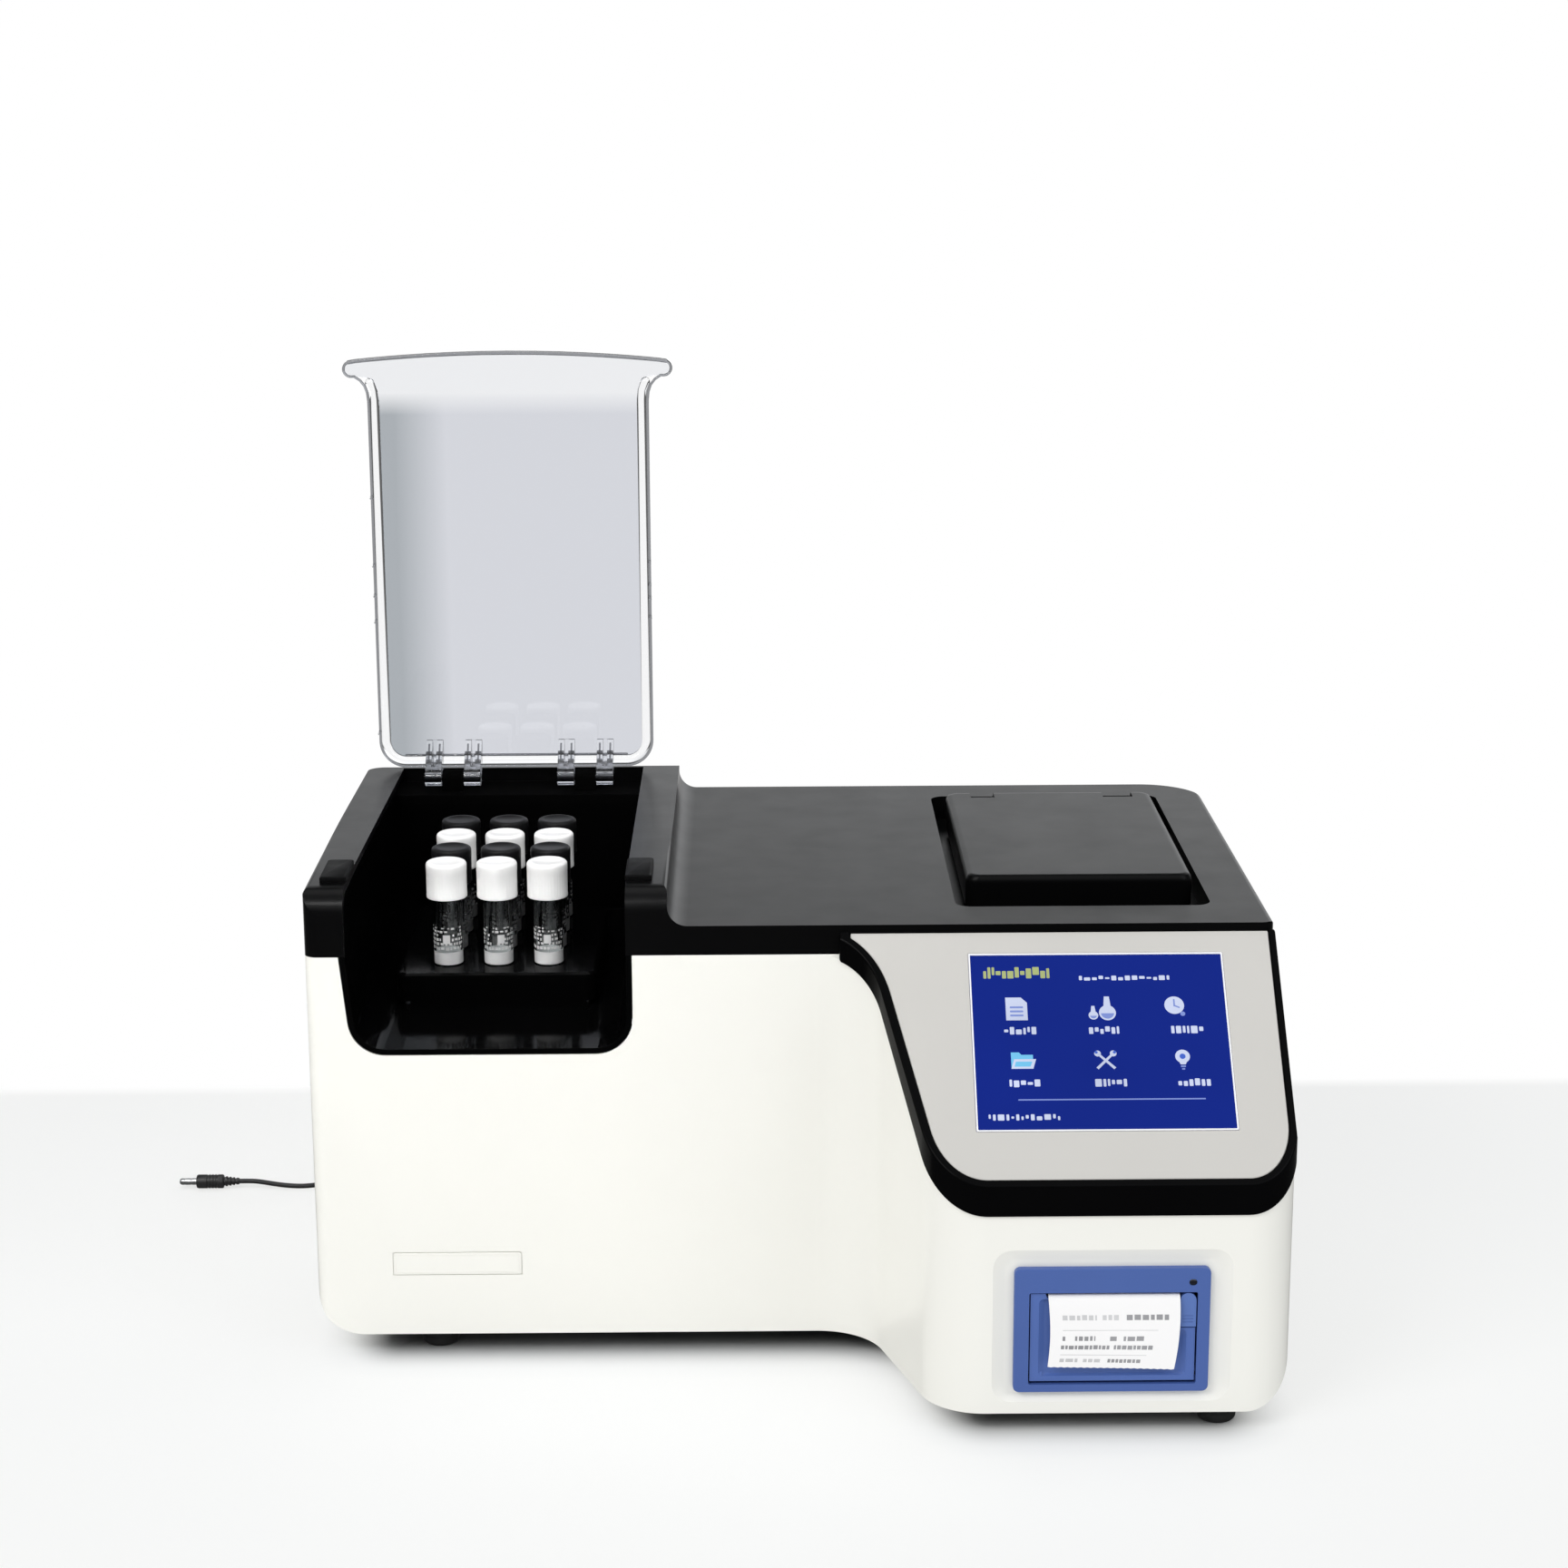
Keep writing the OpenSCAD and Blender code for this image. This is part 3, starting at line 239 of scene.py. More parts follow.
M["spindle"] = moulded("spindle_grey", (0.55, 0.55, 0.54), 0.4, 0.06, 1300, 0.1, 0.5, 0.0, 0.1, 0.05)
M["mark"] = moulded("switch_mark", (0.8, 0.8, 0.8), 0.5, 0.05, 2000, 0.1, 0.4, 0.0, 0.1, 0.03)
M["lens"] = moulded("lamp_lens", (0.006, 0.007, 0.012), 0.12, 0.04, 900, 0.02, 0.6, 0.5, 0.05, 0.2)
# painted highlight: the lid's rolled border gets a clearer, paler colour than the sheet
M["lid_border"] = clear("lid_border", (0.985, 0.988, 0.995), 1.49, (0.9, 0.92, 0.94))
# painted shade: a dark grey clear colour for the lid's edge seen end on
M["lid_edge"] = clear("lid_edge", (0.3, 0.305, 0.32), 1.49, (0.5, 0.51, 0.53))
# the lid's colour carries a painted reflection: darker down the left side, paler at the top end
M["lid"] = painted_reflection_clear("lid_acrylic", (0.705, 0.72, 0.77), (0.43, 0.46, 0.49), (0.9, 0.91, 0.93))
M["glass"] = clear("vial_glass", (0.96, 0.98, 0.985), 1.47, (0.93, 0.95, 0.95), 0.0, 0.03, 0.15)
M["screen"] = lit("screen_blue", (0.003, 0.015, 0.195), 1.0, 0.14, 0.04, 0.9, 0.06)
M["ui_white"] = lit("ui_white", (0.6, 0.66, 0.86), 0.85, shade=0.7)
M["ui_soft"] = lit("ui_soft", (0.2, 0.27, 0.62), 0.85)
M["ui_teal"] = lit("ui_teal", (0.16, 0.52, 0.8), 0.85)
M["ui_blue"] = lit("ui_blue", (0.05, 0.12, 0.55), 0.85)
M["ui_yellow"] = lit("ui_yellow", (0.42, 0.48, 0.2), 0.85, shade=0.6)


# ------------------------------------------------------------------ mesh helpers (millimetres)
def arc(c, r, a0, a1, n):
    return [(c[0] + r * math.cos(math.radians(a0 + (a1 - a0) * i / n)), c[1] + r * math.sin(math.radians(a0 + (a1 - a0) * i / n))) for i in range(n + 1)]


def tidy(poly):
    out = []
    for p in poly:
        if not out or math.dist(p, out[-1]) > 1e-4:
            out.append(p)
    while len(out) > 2 and math.dist(out[0], out[-1]) < 1e-4:
        out.pop()
    return out


def rrect(x0, x1, y0, y1, r, n=8):
    return arc((x0 + r, y0 + r), r, 180, 270, n) + arc((x1 - r, y0 + r), r, 270, 360, n) + arc((x1 - r, y1 - r), r, 0, 90, n) + arc((x0 + r, y1 - r), r, 90, 180, n)


AXES = {"z": lambda p, h: (p[0], p[1], h), "y": lambda p, h: (p[0], h, p[1]), "x": lambda p, h: (h, p[0], p[1])}


def from_bm(bm, name="tmp"):
    bmesh.ops.recalc_face_normals(bm, faces=bm.faces)
    me = bpy.data.meshes.new(name)
    bm.to_mesh(me)
    bm.free()
    o = bpy.data.objects.new(name, me)
    scene.collection.objects.link(o)
    return o


def ring_faces(bm, a, b):
    n = len(a)
    for i in range(n):
        bm.faces.new((a[i], a[(i + 1) % n], b[(i + 1) % n], b[i]))


def add_prism(bm, poly, axis, lo, hi):
    f = AXES[axis]
    poly = tidy(poly)
    a = [bm.verts.new(f(p, lo)) for p in poly]
    b = [bm.verts.new(f(p, hi)) for p in poly]
    bm.faces.new(a)
    bm.faces.new(b[::-1])
    ring_faces(bm, a, b)


def prism(poly, axis, lo, hi):
    bm = bmesh.new()
    add_prism(bm, poly, axis, lo, hi)
    return from_bm(bm)


def loft(rings, closed=False):
    bm = bmesh.new()
    vs = [[bm.verts.new(p) for p in r] for r in rings]
    for a, b in zip(vs, vs[1:]):
        ring_faces(bm, a, b)
    if closed:
        ring_faces(bm, vs[-1], vs[0])
    else:
        bm.faces.new(vs[0])
        bm.faces.new(vs[-1][::-1])
    return from_bm(bm)


def box(x0, x1, y0, y1, z0, z1):
    return prism([(x0, y0), (x1, y0), (x1, y1), (x0, y1)], "z", z0, z1)


def rbox(x0, x1, y0, y1, z0, z1, r, n=8):
    return prism(rrect(x0, x1, y0, y1, r, n), "z", z0, z1)


def fbox(x0, x1, y0, y1, z0, z1, r, n=8):
    return prism(rrect(x0, x1, z0, z1, r, n), "y", y0, y1)


def circle(c, r, n=48):
    return [(c[0] + r * math.cos(2 * math.pi * i / n), c[1] + r * math.sin(2 * math.pi * i / n)) for i in range(n)]


def rod(axis, lo, hi, c, r, n=48):
    return prism(circle(c, r, n), axis, lo, hi)


def lathe(profile, cx=0.0, cy=0.0, n=64, wobble=None):
    """Closed profile of (r, z) turned about the upright axis at (cx, cy)."""
    bm = bmesh.new()
    rings = []
    for k, (r, z) in enumerate(profile):
        if r < 1e-6:
            rings.append([bm.verts.new((cx, cy, z))])
        else:
            rings.append([bm.verts.new((cx + (r + (wobble(k, i) if wobble else 0)) * math.cos(2 * math.pi * i / n), cy + (r + (wobble(k, i) if wobble else 0)) * math.sin(2 * math.pi * i / n), z)) for i in range(n)])
    m = len(rings)
    for k in range(m):
        a, b = rings[k], rings[(k + 1) % m]
        if len(a) == 1 and len(b) == 1:
            continue
        for i in range(n):
            j = (i + 1) % n
            if len(a) == 1:
                bm.faces.new((a[0], b[j], b[i]))
            elif len(b) == 1:
                bm.faces.new((a[i], a[j], b[0]))
            else:
                bm.faces.new((a[i], a[j], b[j], b[i]))
    return from_bm(bm)


def boolean(a, b, op="DIFFERENCE"):
    for solver in ("MANIFOLD", "EXACT"):
        m = a.modifiers.new("b", "BOOLEAN")
        m.object, m.operation, m.solver = b, op, solver
        bpy.context.view_layer.update()
        me = bpy.data.meshes.new_from_object(a.evaluated_get(bpy.context.evaluated_depsgraph_get()))
        a.modifiers.clear()
        if len(me.vertices) > 3 and me.validate() is False:
            break
    old = a.data
    a.data = me
    bpy.data.meshes.remove(old)
    gone = b.data
    bpy.data.objects.remove(b)
    bpy.data.meshes.remove(gone)
    return a


def cut(a, *bs):
    for b in bs:
        boolean(a, b)
    return a


def join(a, *bs):
    for b in bs:
        boolean(a, b, "UNION")
    return a


def meet(a, *bs):
    for b in bs:
        boolean(a, b, "INTERSECT")
    return a


def rounded(o, width, segments=2, angle=40):
    """Rounds the sharp edges for good, for shapes that are joined to others afterwards."""
    b = o.modifiers.new("b", "BEVEL")
    b.width, b.segments, b.limit_method, b.angle_limit, b.use_clamp_overlap = width, segments, "ANGLE", math.radians(angle), True
    bpy.context.view_layer.update()
    me = bpy.data.meshes.new_from_object(o.evaluated_get(bpy.context.evaluated_depsgraph_get()))
    o.modifiers.clear()
    old = o.data
    o.data = me
    bpy.data.meshes.remove(old)
    return o


def clean(o, flat=0.4):
    bm = bmesh.new()
    bm.from_mesh(o.data)
    bmesh.ops.remove_doubles(bm, verts=bm.verts, dist=0.002)
    bmesh.ops.dissolve_degenerate(bm, edges=bm.edges, dist=0.002)
    bmesh.ops.dissolve_limit(bm, angle_limit=math.radians(flat), verts=bm.verts, edges=bm.edges, use_dissolve_boundaries=False)
    bm.to_mesh(o.data)
    bm.free()
    return o


def piece(o, name, material, body, bevel=0.5, segments=3, angle=28, replaces=(), smooth=True, tidy_up=True, even=False):
    """Moves a shape to the row frame, rounds its edges and lets it ride on its body."""
    if tidy_up:
        clean(o)
    o.name = name
    o.data.name = name
    o.data.transform(TO_ROW)
    o.data.materials.clear()
    for m in material if isinstance(material, (list, tuple)) else [material]:
        o.data.materials.append(m)
    for p in o.data.polygons:
        p.use_smooth = smooth
    if bevel:
        b = o.modifiers.new("edges", "BEVEL")
        b.width, b.segments, b.limit_method, b.angle_limit = bevel / 1000, segments, "ANGLE", math.radians(angle)
        b.use_clamp_overlap, b.harden_normals, b.miter_outer = True, False, "MITER_ARC"
        w = o.modifiers.new("normals", "WEIGHTED_NORMAL")
        w.keep_sharp, w.weight = True, 60
    elif smooth:
        o.data.set_sharp_from_angle(angle=math.radians(40))
        if even:
            w = o.modifiers.new("normals", "WEIGHTED_NORMAL")
            w.keep_sharp, w.weight = True, 60
    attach(o, body)
    if replaces:
        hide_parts(*replaces)
    return o


def dressed(node, material, bevel=0.0, segments=2, angle=30):
    """Finish for a CAD node that stays: material, and rounded edges from modifiers."""
    o = nodes[node]
    o.data.materials.clear()
    o.data.materials.append(material)
    if bevel:
        w = o.modifiers.new("weld", "WELD")
        w.merge_threshold = 0.000002
        b = o.modifiers.new("edges", "BEVEL")
        b.width, b.segments, b.limit_method, b.angle_limit = bevel / 1000, segments, "ANGLE", math.radians(angle)
        b.use_clamp_overlap = True
        n = o.modifiers.new("normals", "WEIGHTED_NORMAL")
        n.keep_sharp, n.weight = False, 60


# ------------------------------------------------------------------ lead
LEAD_D = 2.5
LZ = LEAD_D / 2 + 0.05
ROUTE = [(-222, 207, 22), (-222, 207, 18), (-222, 207.3, 14), (-222.2, 208.6, 10), (-222.6, 211.4, 6.4), (-223, 215.8, 3.6),
         (-223.4, 221.4, 1.9), (-223.8, 228, LZ), (-224, 235, LZ), (-223.4, 242, LZ), (-221.2, 249, LZ), (-217, 255.2, LZ), (-211, 259.8, LZ),
         (-203.6, 262.8, LZ), (-195, 264.2, LZ), (-185, 264.5, LZ), (-174, 264.5, LZ)]
TAIL = [(-182, 296.6, 8.6), (-190, 295.6, 7.6), (-198, 293.8, 5.8), (-205.5, 291, 3.8), (-212.4, 287, 2.2), (-218.4, 281.8, LZ),
        (-223.4, 275.4, LZ), (-227.2, 268, LZ), (-229.8, 260, LZ), (-231.2, 251.5, LZ), (-231.6, 243, LZ), (-231.6, 234.5, LZ), (-232.2, 226, LZ),
        (-234.4, 218.4, LZ), (-238.8, 212.2, LZ), (-245, 208.4, LZ), (-252, 206.9, LZ), (-259, 206.9, 1.6), (-266, 207.4, 2.3), (-272, 208, 3.1),
        (-276.5, 208.4, 3.55), (-280.5, 208.5, 3.65), (-285, 208.5, 3.65)]
COIL = (-170, 282)


def coil_points():
    """Turns beside and on each other, a diameter apart, from the outer lower turn to an upper one."""
    layers = [(17.5, 10.0, 1.3, 4), (10.0, 17.5, 3.8, 4), (17.5, 10.0, 6.3, 4)]
    turns = []
    for a, b, z, n in layers:
        for i in range(n):
            turns.append((a + (b - a) * i / (n - 1), z))
    turns += [(12.5, 8.8), (15.0, 8.8)]
    pts = []
    per = 28
    for k, (r, z) in enumerate(turns):
        r2, z2 = turns[k + 1] if k + 1 < len(turns) else (r, z)
        for i in range(per if k + 1 < len(turns) else per // 2):
            t = i / per
            # the step to the next turn happens over the last fifth of the turn
            f = max(0.0, (t - 0.78) / 0.22)
            f = f * f * (3 - 2 * f)
            a = math.radians(270 + 360 * t)
            rr, zz = r + (r2 - r) * f, z + (z2 - z) * f
            pts.append((COIL[0] + rr * math.cos(a), COIL[1] + rr * math.sin(a), zz))
    return pts


def smooth_line(pts, per):
    out = []
    n = len(pts)
    for i in range(n - 1):
        p0, p1, p2, p3 = (Vector(pts[max(i - 1, 0)]), Vector(pts[i]), Vector(pts[i + 1]), Vector(pts[min(i + 2, n - 1)]))
        for k in range(per):
            t = k / per
            out.append(0.5 * ((2 * p1) + (p2 - p0) * t + (2 * p0 - 5 * p1 + 4 * p2 - p3) * t * t + (3 * p1 - p0 - 3 * p2 + p3) * t ** 3))
    out.append(Vector(pts[-1]))
    return out


def make_lead():
    line = smooth_line(ROUTE, 3) + [Vector(p) for p in coil_points()][0:] + smooth_line([(COIL[0], COIL[1] + 15.0, 8.8), (-175, 297, 8.78)] + TAIL, 3)
    # no two points closer than half a millimetre
    kept = [line[0]]
    for p in line[1:]:
        if (p - kept[-1]).length > 0.5:
            kept.append(p)
    curve = bpy.data.curves.new("lead", "CURVE")
    curve.dimensions = "3D"
    spline = curve.splines.new("POLY")
    spline.points.add(len(kept) - 1)
    for q, p in zip(spline.points, kept):
        q.co = (*row(*p), 1)
    curve.bevel_depth = LEAD_D / 2000
    curve.bevel_resolution = 3
    curve.use_fill_caps = True
    o = bpy.data.objects.new("lead", curve)
    scene.collection.objects.link(o)
    curve.materials.append(M["lead"])
    length = sum((b - a).length for a, b in zip(kept, kept[1:])) / 1000
    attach(o, "base")
    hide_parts("lead_run", "lead_coil", "lead_tail")
    return o, length


def make_plugs():
    # angled plug at the side of the housing, with a ribbed relief down to the lead
    head = loft([[(x, y, z) for y, z in rrect(201.5 + i, 212.5 - i, 36 + i, 51 - i, 1.8 - i * 0.4)] for x, i in ((-215.0, 0.0), (-226.2, 0.0), (-227.0, 0.35), (-227.5, 1.0))])
    grip = [prism([(-221.0, z - 0.45), (-221.0 - 0.0, z + 0.45), (-218.2, z + 0.45), (-218.2, z - 0.45)], "y", 200.9, 213.1) for z in (40.0, 42.4, 44.8, 47.2)]
    cut(head, *[prism([(-223.5, z - 0.4), (-217.5, z - 0.4), (-217.5, z + 0.4), (-223.5, z + 0.4)], "y", y0, y1) for z in (40.0, 42.2, 44.4, 46.6) for y0, y1 in ((200, 202.0), (212.0, 214))])
    for g in grip:
        bpy.data.objects.remove(g)
    neck = [(0.0, 36.4), (3.4, 36.4)]
    for i in range(6):
        z = 35.4 - i * 2.1
        r = 3.35 - (35.4 - z) * 0.112
        neck += [(r, z), (r, z - 1.15), (r - 0.55, z - 1.35), (r - 0.6, z - 1.95)]
    neck += [(1.95, 22.4), (1.65, 22.0), (0.0, 22.0)]
    plug = piece(head, "side_plug", M["plug"], "base", 0.7, 3, replaces=("lead_plug",))
    relief = piece(lathe(neck, -222, 207, 40), "side_plug_relief", M["plug"], "base", 0)
    # plug at the far end: slim barrel with finger grooves, ribbed relief and plated pin
    place = Matrix.Translation((-285, 208.5, 3.65)) @ Matrix.Rotation(-math.pi / 2, 4, "Y")
    prof = [(0.0, 8.0), (2.9, 8.0), (3.3, 8.15), (3.6, 8.6)]
    for i in range(4):
        h = 11.0 + i * 1.6
        prof += [(3.6, h), (3.3, h + 0.2), (3.3, h + 0.6), (3.6, h + 0.8)]
    prof += [(3.6, 21.2), (3.35, 21.8), (2.9, 22.0), (0.0, 22.0)]
    body = lathe(prof, 0, 0, 40)
    prof = [(0.0, 0.0), (1.6, 0.0)]
    for i in range(4):
        h = 0.5 + i * 1.85
        r = 1.75 + i * 0.27
        prof += [(r, h), (r, h + 0.95), (r - 0.35, h + 1.1), (r - 0.35, h + 1.6)]
    prof += [(2.8, 8.1), (0.0, 8.1)]
    tail = lathe(prof, 0, 0, 32)
    pin = lathe([(0.0, 21.9), (1.75, 21.9), (1.75, 24.6), (1.55, 24.75), (1.55, 25.1), (1.75, 25.25), (1.75, 27.9), (1.55, 28.05),
                 (1.55, 28.4), (1.75, 28.55), (1.7, 30.0), (1.2, 30.8), (0.5, 31.0), (0.0, 31.0)], 0, 0, 32)
    for o in (body, tail, pin):
        o.data.transform(place)
    end = piece(body, "end_plug", M["plug"], "base", 0, replaces=("lead_end_plug",))
    tail = piece(tail, "end_plug_relief", M["plug"], "base", 0)
    metal = piece(pin, "end_plug_pin", M["steel"], "base", 0)
    return [plug, relief], [end, tail, metal]


lead, lead_len = make_lead()
near_plug, far_plug = make_plugs()

# ------------------------------------------------------------------ outlines shared by several pieces
HW, FWD, BACK, FOOT, SEAM, DECK, RIM = 215.0, 88.0, 255.0, 9.5, 189.0, 202.4, 218.8
S_C1, S_R1, S_C2, S_R2 = (12.0, -30.0), 30.0, (82.5, 28.0 - FWD), 28.0
S_D = (S_C2[0] - S_C1[0], S_C2[1] - S_C1[1])
S_A = math.degrees(math.atan2(S_D[1], S_D[0])) + math.degrees(math.acos((S_R1 + S_R2) / math.hypot(*S_D)))
WX0, WX1, WY1, WZ0 = -197.0, -72.6, 222.0, 146.0
SLOPE = math.radians(44)
TOP_Z = 199.5
LIP_Y = -FWD - 1
BACK0, BACK1 = 188.8, 99.5
XV, YV, VDX, VDY = -135.5, 81.0, 23.5, 26.0
PF = -FWD
PRN_X = 137.0


def plan(o, x_from=None):
    return tidy(arc((-HW + 6, 6), 6 - o, 180, 270, 10) + arc(S_C1, S_R1 + o, 90, S_A, 22) + arc(S_C2, S_R2 - o, 180 + S_A, 270, 22)
                + arc((HW - 22, 22 - FWD), 22 - o, 270, 360, 22) + arc((HW - 30, BACK - 30), 30 - o, 0, 90, 24) + arc((-HW + 8, BACK - 8), 8 - o, 90, 180, 10))


def cover_plan(o):
    return tidy(arc((-HW + 6, 6), 6 - o, 180, 270, 10) + arc((HW - 6, 6), 6 - o, 270, 360, 10)
                + arc((HW - 30, BACK - 30), 30 - o, 0, 90, 24) + arc((-HW + 8, BACK - 8), 8 - o, 90, 180, 10))


def front_view(o, top):
    return [(HW - o, top), (-HW + o, top)] + arc((-HW + 21, FOOT + 21), 21 - o, 180, 270, 20) + arc((HW - 21, FOOT + 21), 21 - o, 270, 360, 20)


def con(s, n):
    return (-s * math.cos(SLOPE) - n * math.sin(SLOPE), TOP_Z - s * math.sin(SLOPE) + n * math.cos(SLOPE))


def slope_box(x0, x1, s0, s1, n0, n1):
    return prism([con(s0, n0), con(s1, n0), con(s1, n1), con(s0, n1)], "x", x0, x1)


def rim_at(y):
    """The rims fall a little towards the back."""
    return RIM - 4.8 * max(0.0, y - 50) / (BACK - 49)


def well_view(o):
    return tidy([(WX1 + o, RIM + 5), (WX0 - o, RIM + 5), (WX0 - o, SEAM)] + arc((WX0 + 17, WZ0 + 14), 14 + o, 186, 270, 16)
                + arc((WX1 - 14, WZ0 + 14), 14 + o, 270, 360, 16) + [(WX1 + o, SEAM)])


# ------------------------------------------------------------------ housing
def make_housing():
    a = meet(prism(plan(0), "z", FOOT, SEAM), prism(front_view(0, SEAM + 1), "y", -FWD - 5, BACK + 5))
    inner = meet(prism(plan(3), "z", FOOT + 6, SEAM + 20), prism(front_view(3, SEAM + 30), "y", -FWD - 5, BACK + 5))
    k = (BACK0 - BACK1) / -LIP_Y
    cut(a, inner,
        meet(prism(plan(10), "z", FOOT - 1, FOOT + 3), box(-190, 190, -200, 300, 0, 20)),
        meet(prism(plan(27), "z", FOOT, FOOT + 10), box(-172, 168, -200, 300, 0, 30)),
        prism([(0, BACK0), (LIP_Y - 5, BACK1 - 5 * k), (LIP_Y - 5, SEAM + 20), (0, SEAM + 20)], "x", 12, HW + 5),
        prism(well_view(2.8), "y", -1, 4))
    # dished recess round the printer
    cut(a, loft([[(x, y, z) for x, z in rrect(84.6 + i, 187.4 - i, 14.6 + 0.7 * i, 84.6 - i, 8.5 - 0.45 * i)] for y, i in ((PF - 1.0, -1.2), (PF + 0.2, 0.6), (PF + 1.2, 2.6), (PF + 2.0, 4.4), (PF + 2.4, 6.2))]),
        box(95.5, 176.5, PF - 1, PF + 4, 20.5, 74.5),
        box(-180.3, -121.7, -1, 0.6, 38.2, 49.3),
        box(138 - 26.2, 138 + 26.2, BACK - 1.6, BACK + 1, 60 - 15.2, 60 + 15.2),
        box(138 - 22.5, 138 + 22.5, BACK - 5, BACK + 1, 60 - 12.5, 60 + 12.5),
        box(-HW - 1, -HW + 5, 201.7, 212.3, 40.7, 51.3))
    for i in range(-3, 4):
        w = math.sqrt(27 * 27 - 49 * i * i)
        cut(a, fbox(-100 - w, -100 + w, BACK - 5, BACK + 1, 75 + 7 * i - 1.8, 75 + 7 * i + 1.8, 1.7, 5))
    for i in (-1, 1):
        for j in (-1, 1):
            cut(a, rod("y", BACK - 5, BACK + 1, (-100 + 25 * i, 75 + 25 * j), 2.05, 24))
    return piece(a, "housing", M["white"], "base", 0.9, 3, replaces=("body_shell",))


def make_plate():
    a = loft([[(x, y, z) for x, z in rrect(-180 + i, -122 - i, 38.5 + i, 49 - i, 1.1 - i * 0.3, 5)] for y, i in ((0.58, 0.0), (-0.18, 0.0), (-0.3, 0.14))])
    # a shallow line inside the edge, nothing written
    ring = cut(fbox(-179.0, -123.0, -0.4, -0.14, 39.5, 48.0, 0.7, 5), fbox(-178.7, -123.3, -1, 1, 39.8, 47.7, 0.5, 5))
    cut(a, ring)
    return piece(a, "blank_plate", M["white"], "base", 0, replaces=("name_plate",))


# ------------------------------------------------------------------ cover
def cover_solid(o):
    e = 2.5
    if o:
        view = [(HW - o, SEAM - 1), (HW - o, DECK - o)] + arc((-45, DECK + 9), 9 + o, 270, 180, 14) + [(-54 - o, RIM - o), (-HW + o, RIM - o), (-HW + o, SEAM - 1)]
    else:
        view = ([(HW, SEAM)] + arc((HW - e, DECK - e), e, 0, 90, 6) + arc((-45, DECK + 9), 9, 270, 180, 14)
                + arc((-54 - e, RIM - e), e, 0, 90, 6) + arc((-HW + e, RIM - e), e, 90, 180, 6) + [(-HW, SEAM)])
    side = [(o, SEAM - 2), (o, RIM - 12)] + arc((12, RIM - 12), 12 - o, 180, 90, 14) + [(50, RIM - o), (BACK + 1, RIM - 4.8 - o), (BACK + 1, SEAM - 2)]
    return meet(prism(cover_plan(o), "z", SEAM - 1, SEAM + 59), prism(tidy(view), "y", -1, BACK + 1), prism(tidy(side), "x", -HW - 1, HW + 1))


def make_cover():
    a = cut(cover_solid(0), cover_solid(3))
    join(a, rbox(73, 193.5, 25.5, 234.5, 187.9, DECK - 1, 9))
    cut(a, box(WX0, WX1, -1, WY1, SEAM - 2, RIM + 5), box(WX0, WX1, WY1 - 0.01, BACK - 2.7, 207, RIM + 5),
        rbox(75.5, 191, 28, 232, DECK - 12, DECK + 5, 7, 12), box(101.5, 160.5, 90.5, 129.5, 180, DECK))
    piece(a, "cover", M["black"], "base", 0.9, 3, replaces=("top_cover",))
    # ledge that carries the lid hinge, with a shallow seat under each knuckle
    b = join(box(-212.2, -57.8, WY1, BACK - 2.9, 203.6, 207), box(WX0 + 0.1, WX1 - 0.1, WY1 - 0.15, WY1 + 1, 202.4, 206.95))
    cut(b, *[rbox(k - 6, k + 6, LHY - 5.5, LHY + 5.5, 206.6, 208, 1.5, 5) for k in (-170, -102)])
    piece(b, "hinge_ledge", M["ledge"], "base", 0)


def make_pads():
    bm = None
    pads = []
    for k, (x0, x1) in enumerate(((-209, -197), (-73, -61))):
        a = loft([[(x, y, z) for x, y in rrect(x0 + i, x1 - i, 16 + i, 47 - i, 1.4 - i * 0.3, 6)] for z, i in ((RIM, 0.0), (RIM + 1.7, 0.0), (RIM + 2.25, 0.25), (RIM + 2.5, 0.8))])
        pads.append(a)
    join(pads[0], pads[1])
    return piece(pads[0], "rest_pads", M["pad"], "base", 0, replaces=("lid_rest_pads",))


# ------------------------------------------------------------------ digester
def make_liner():
    a = meet(prism(well_view(2.5), "y", 0, WY1 + 2.5),
             prism([(0, WZ0 - 5), (0, SEAM - 0.2), (3.3, SEAM - 0.2), (3.3, 206), (6, 212), (12.2, RIM - 3), (50, RIM - 3), (WY1, rim_at(WY1) - 3), (WY1, 203.6), (WY1 + 2.5, 203.6), (WY1 + 2.5, WZ0 - 5)], "x", WX0 - 10, WX1 + 10))
    cut(a, prism(well_view(0), "y", -1, WY1), box(XV - 43.3, XV + 43.3, YV - 14.8, YV + 3 * VDY + 14.8, 130, 150))
    return piece(a, "liner", M["liner"], "base", 0.6, 3, replaces=("well_liner",))


def make_block_cover():
    a = loft([[(x, y, z) for x, y in rrect(XV - 47 + i, XV + 47 - i, YV - 19 + i, YV + 3 * VDY + 19 - i, 6 - i, 8)] for z, i in ((WZ0 + 2.5, 0.0), (159.1, 0.0), (160.7, 0.6), (161.5, 2.0))])
    join(a, box(XV - 40, XV + 41.5, YV - 19, YV + 3 * VDY + 19, WZ0, WZ0 + 3))
    cut(a, rbox(XV - 44, XV + 44, YV - 16, YV + 3 * VDY + 16, WZ0 - 1, 158.7, 3))
    for c in (-1, 0, 1):
        for r in range(4):
            cut(a, rod("z", 150, 170, (XV + c * VDX, YV + r * VDY), 7.5, 40))
    return piece(a, "block_top", M["block"], "base", 0.5, 2, replaces=("block_cover",))


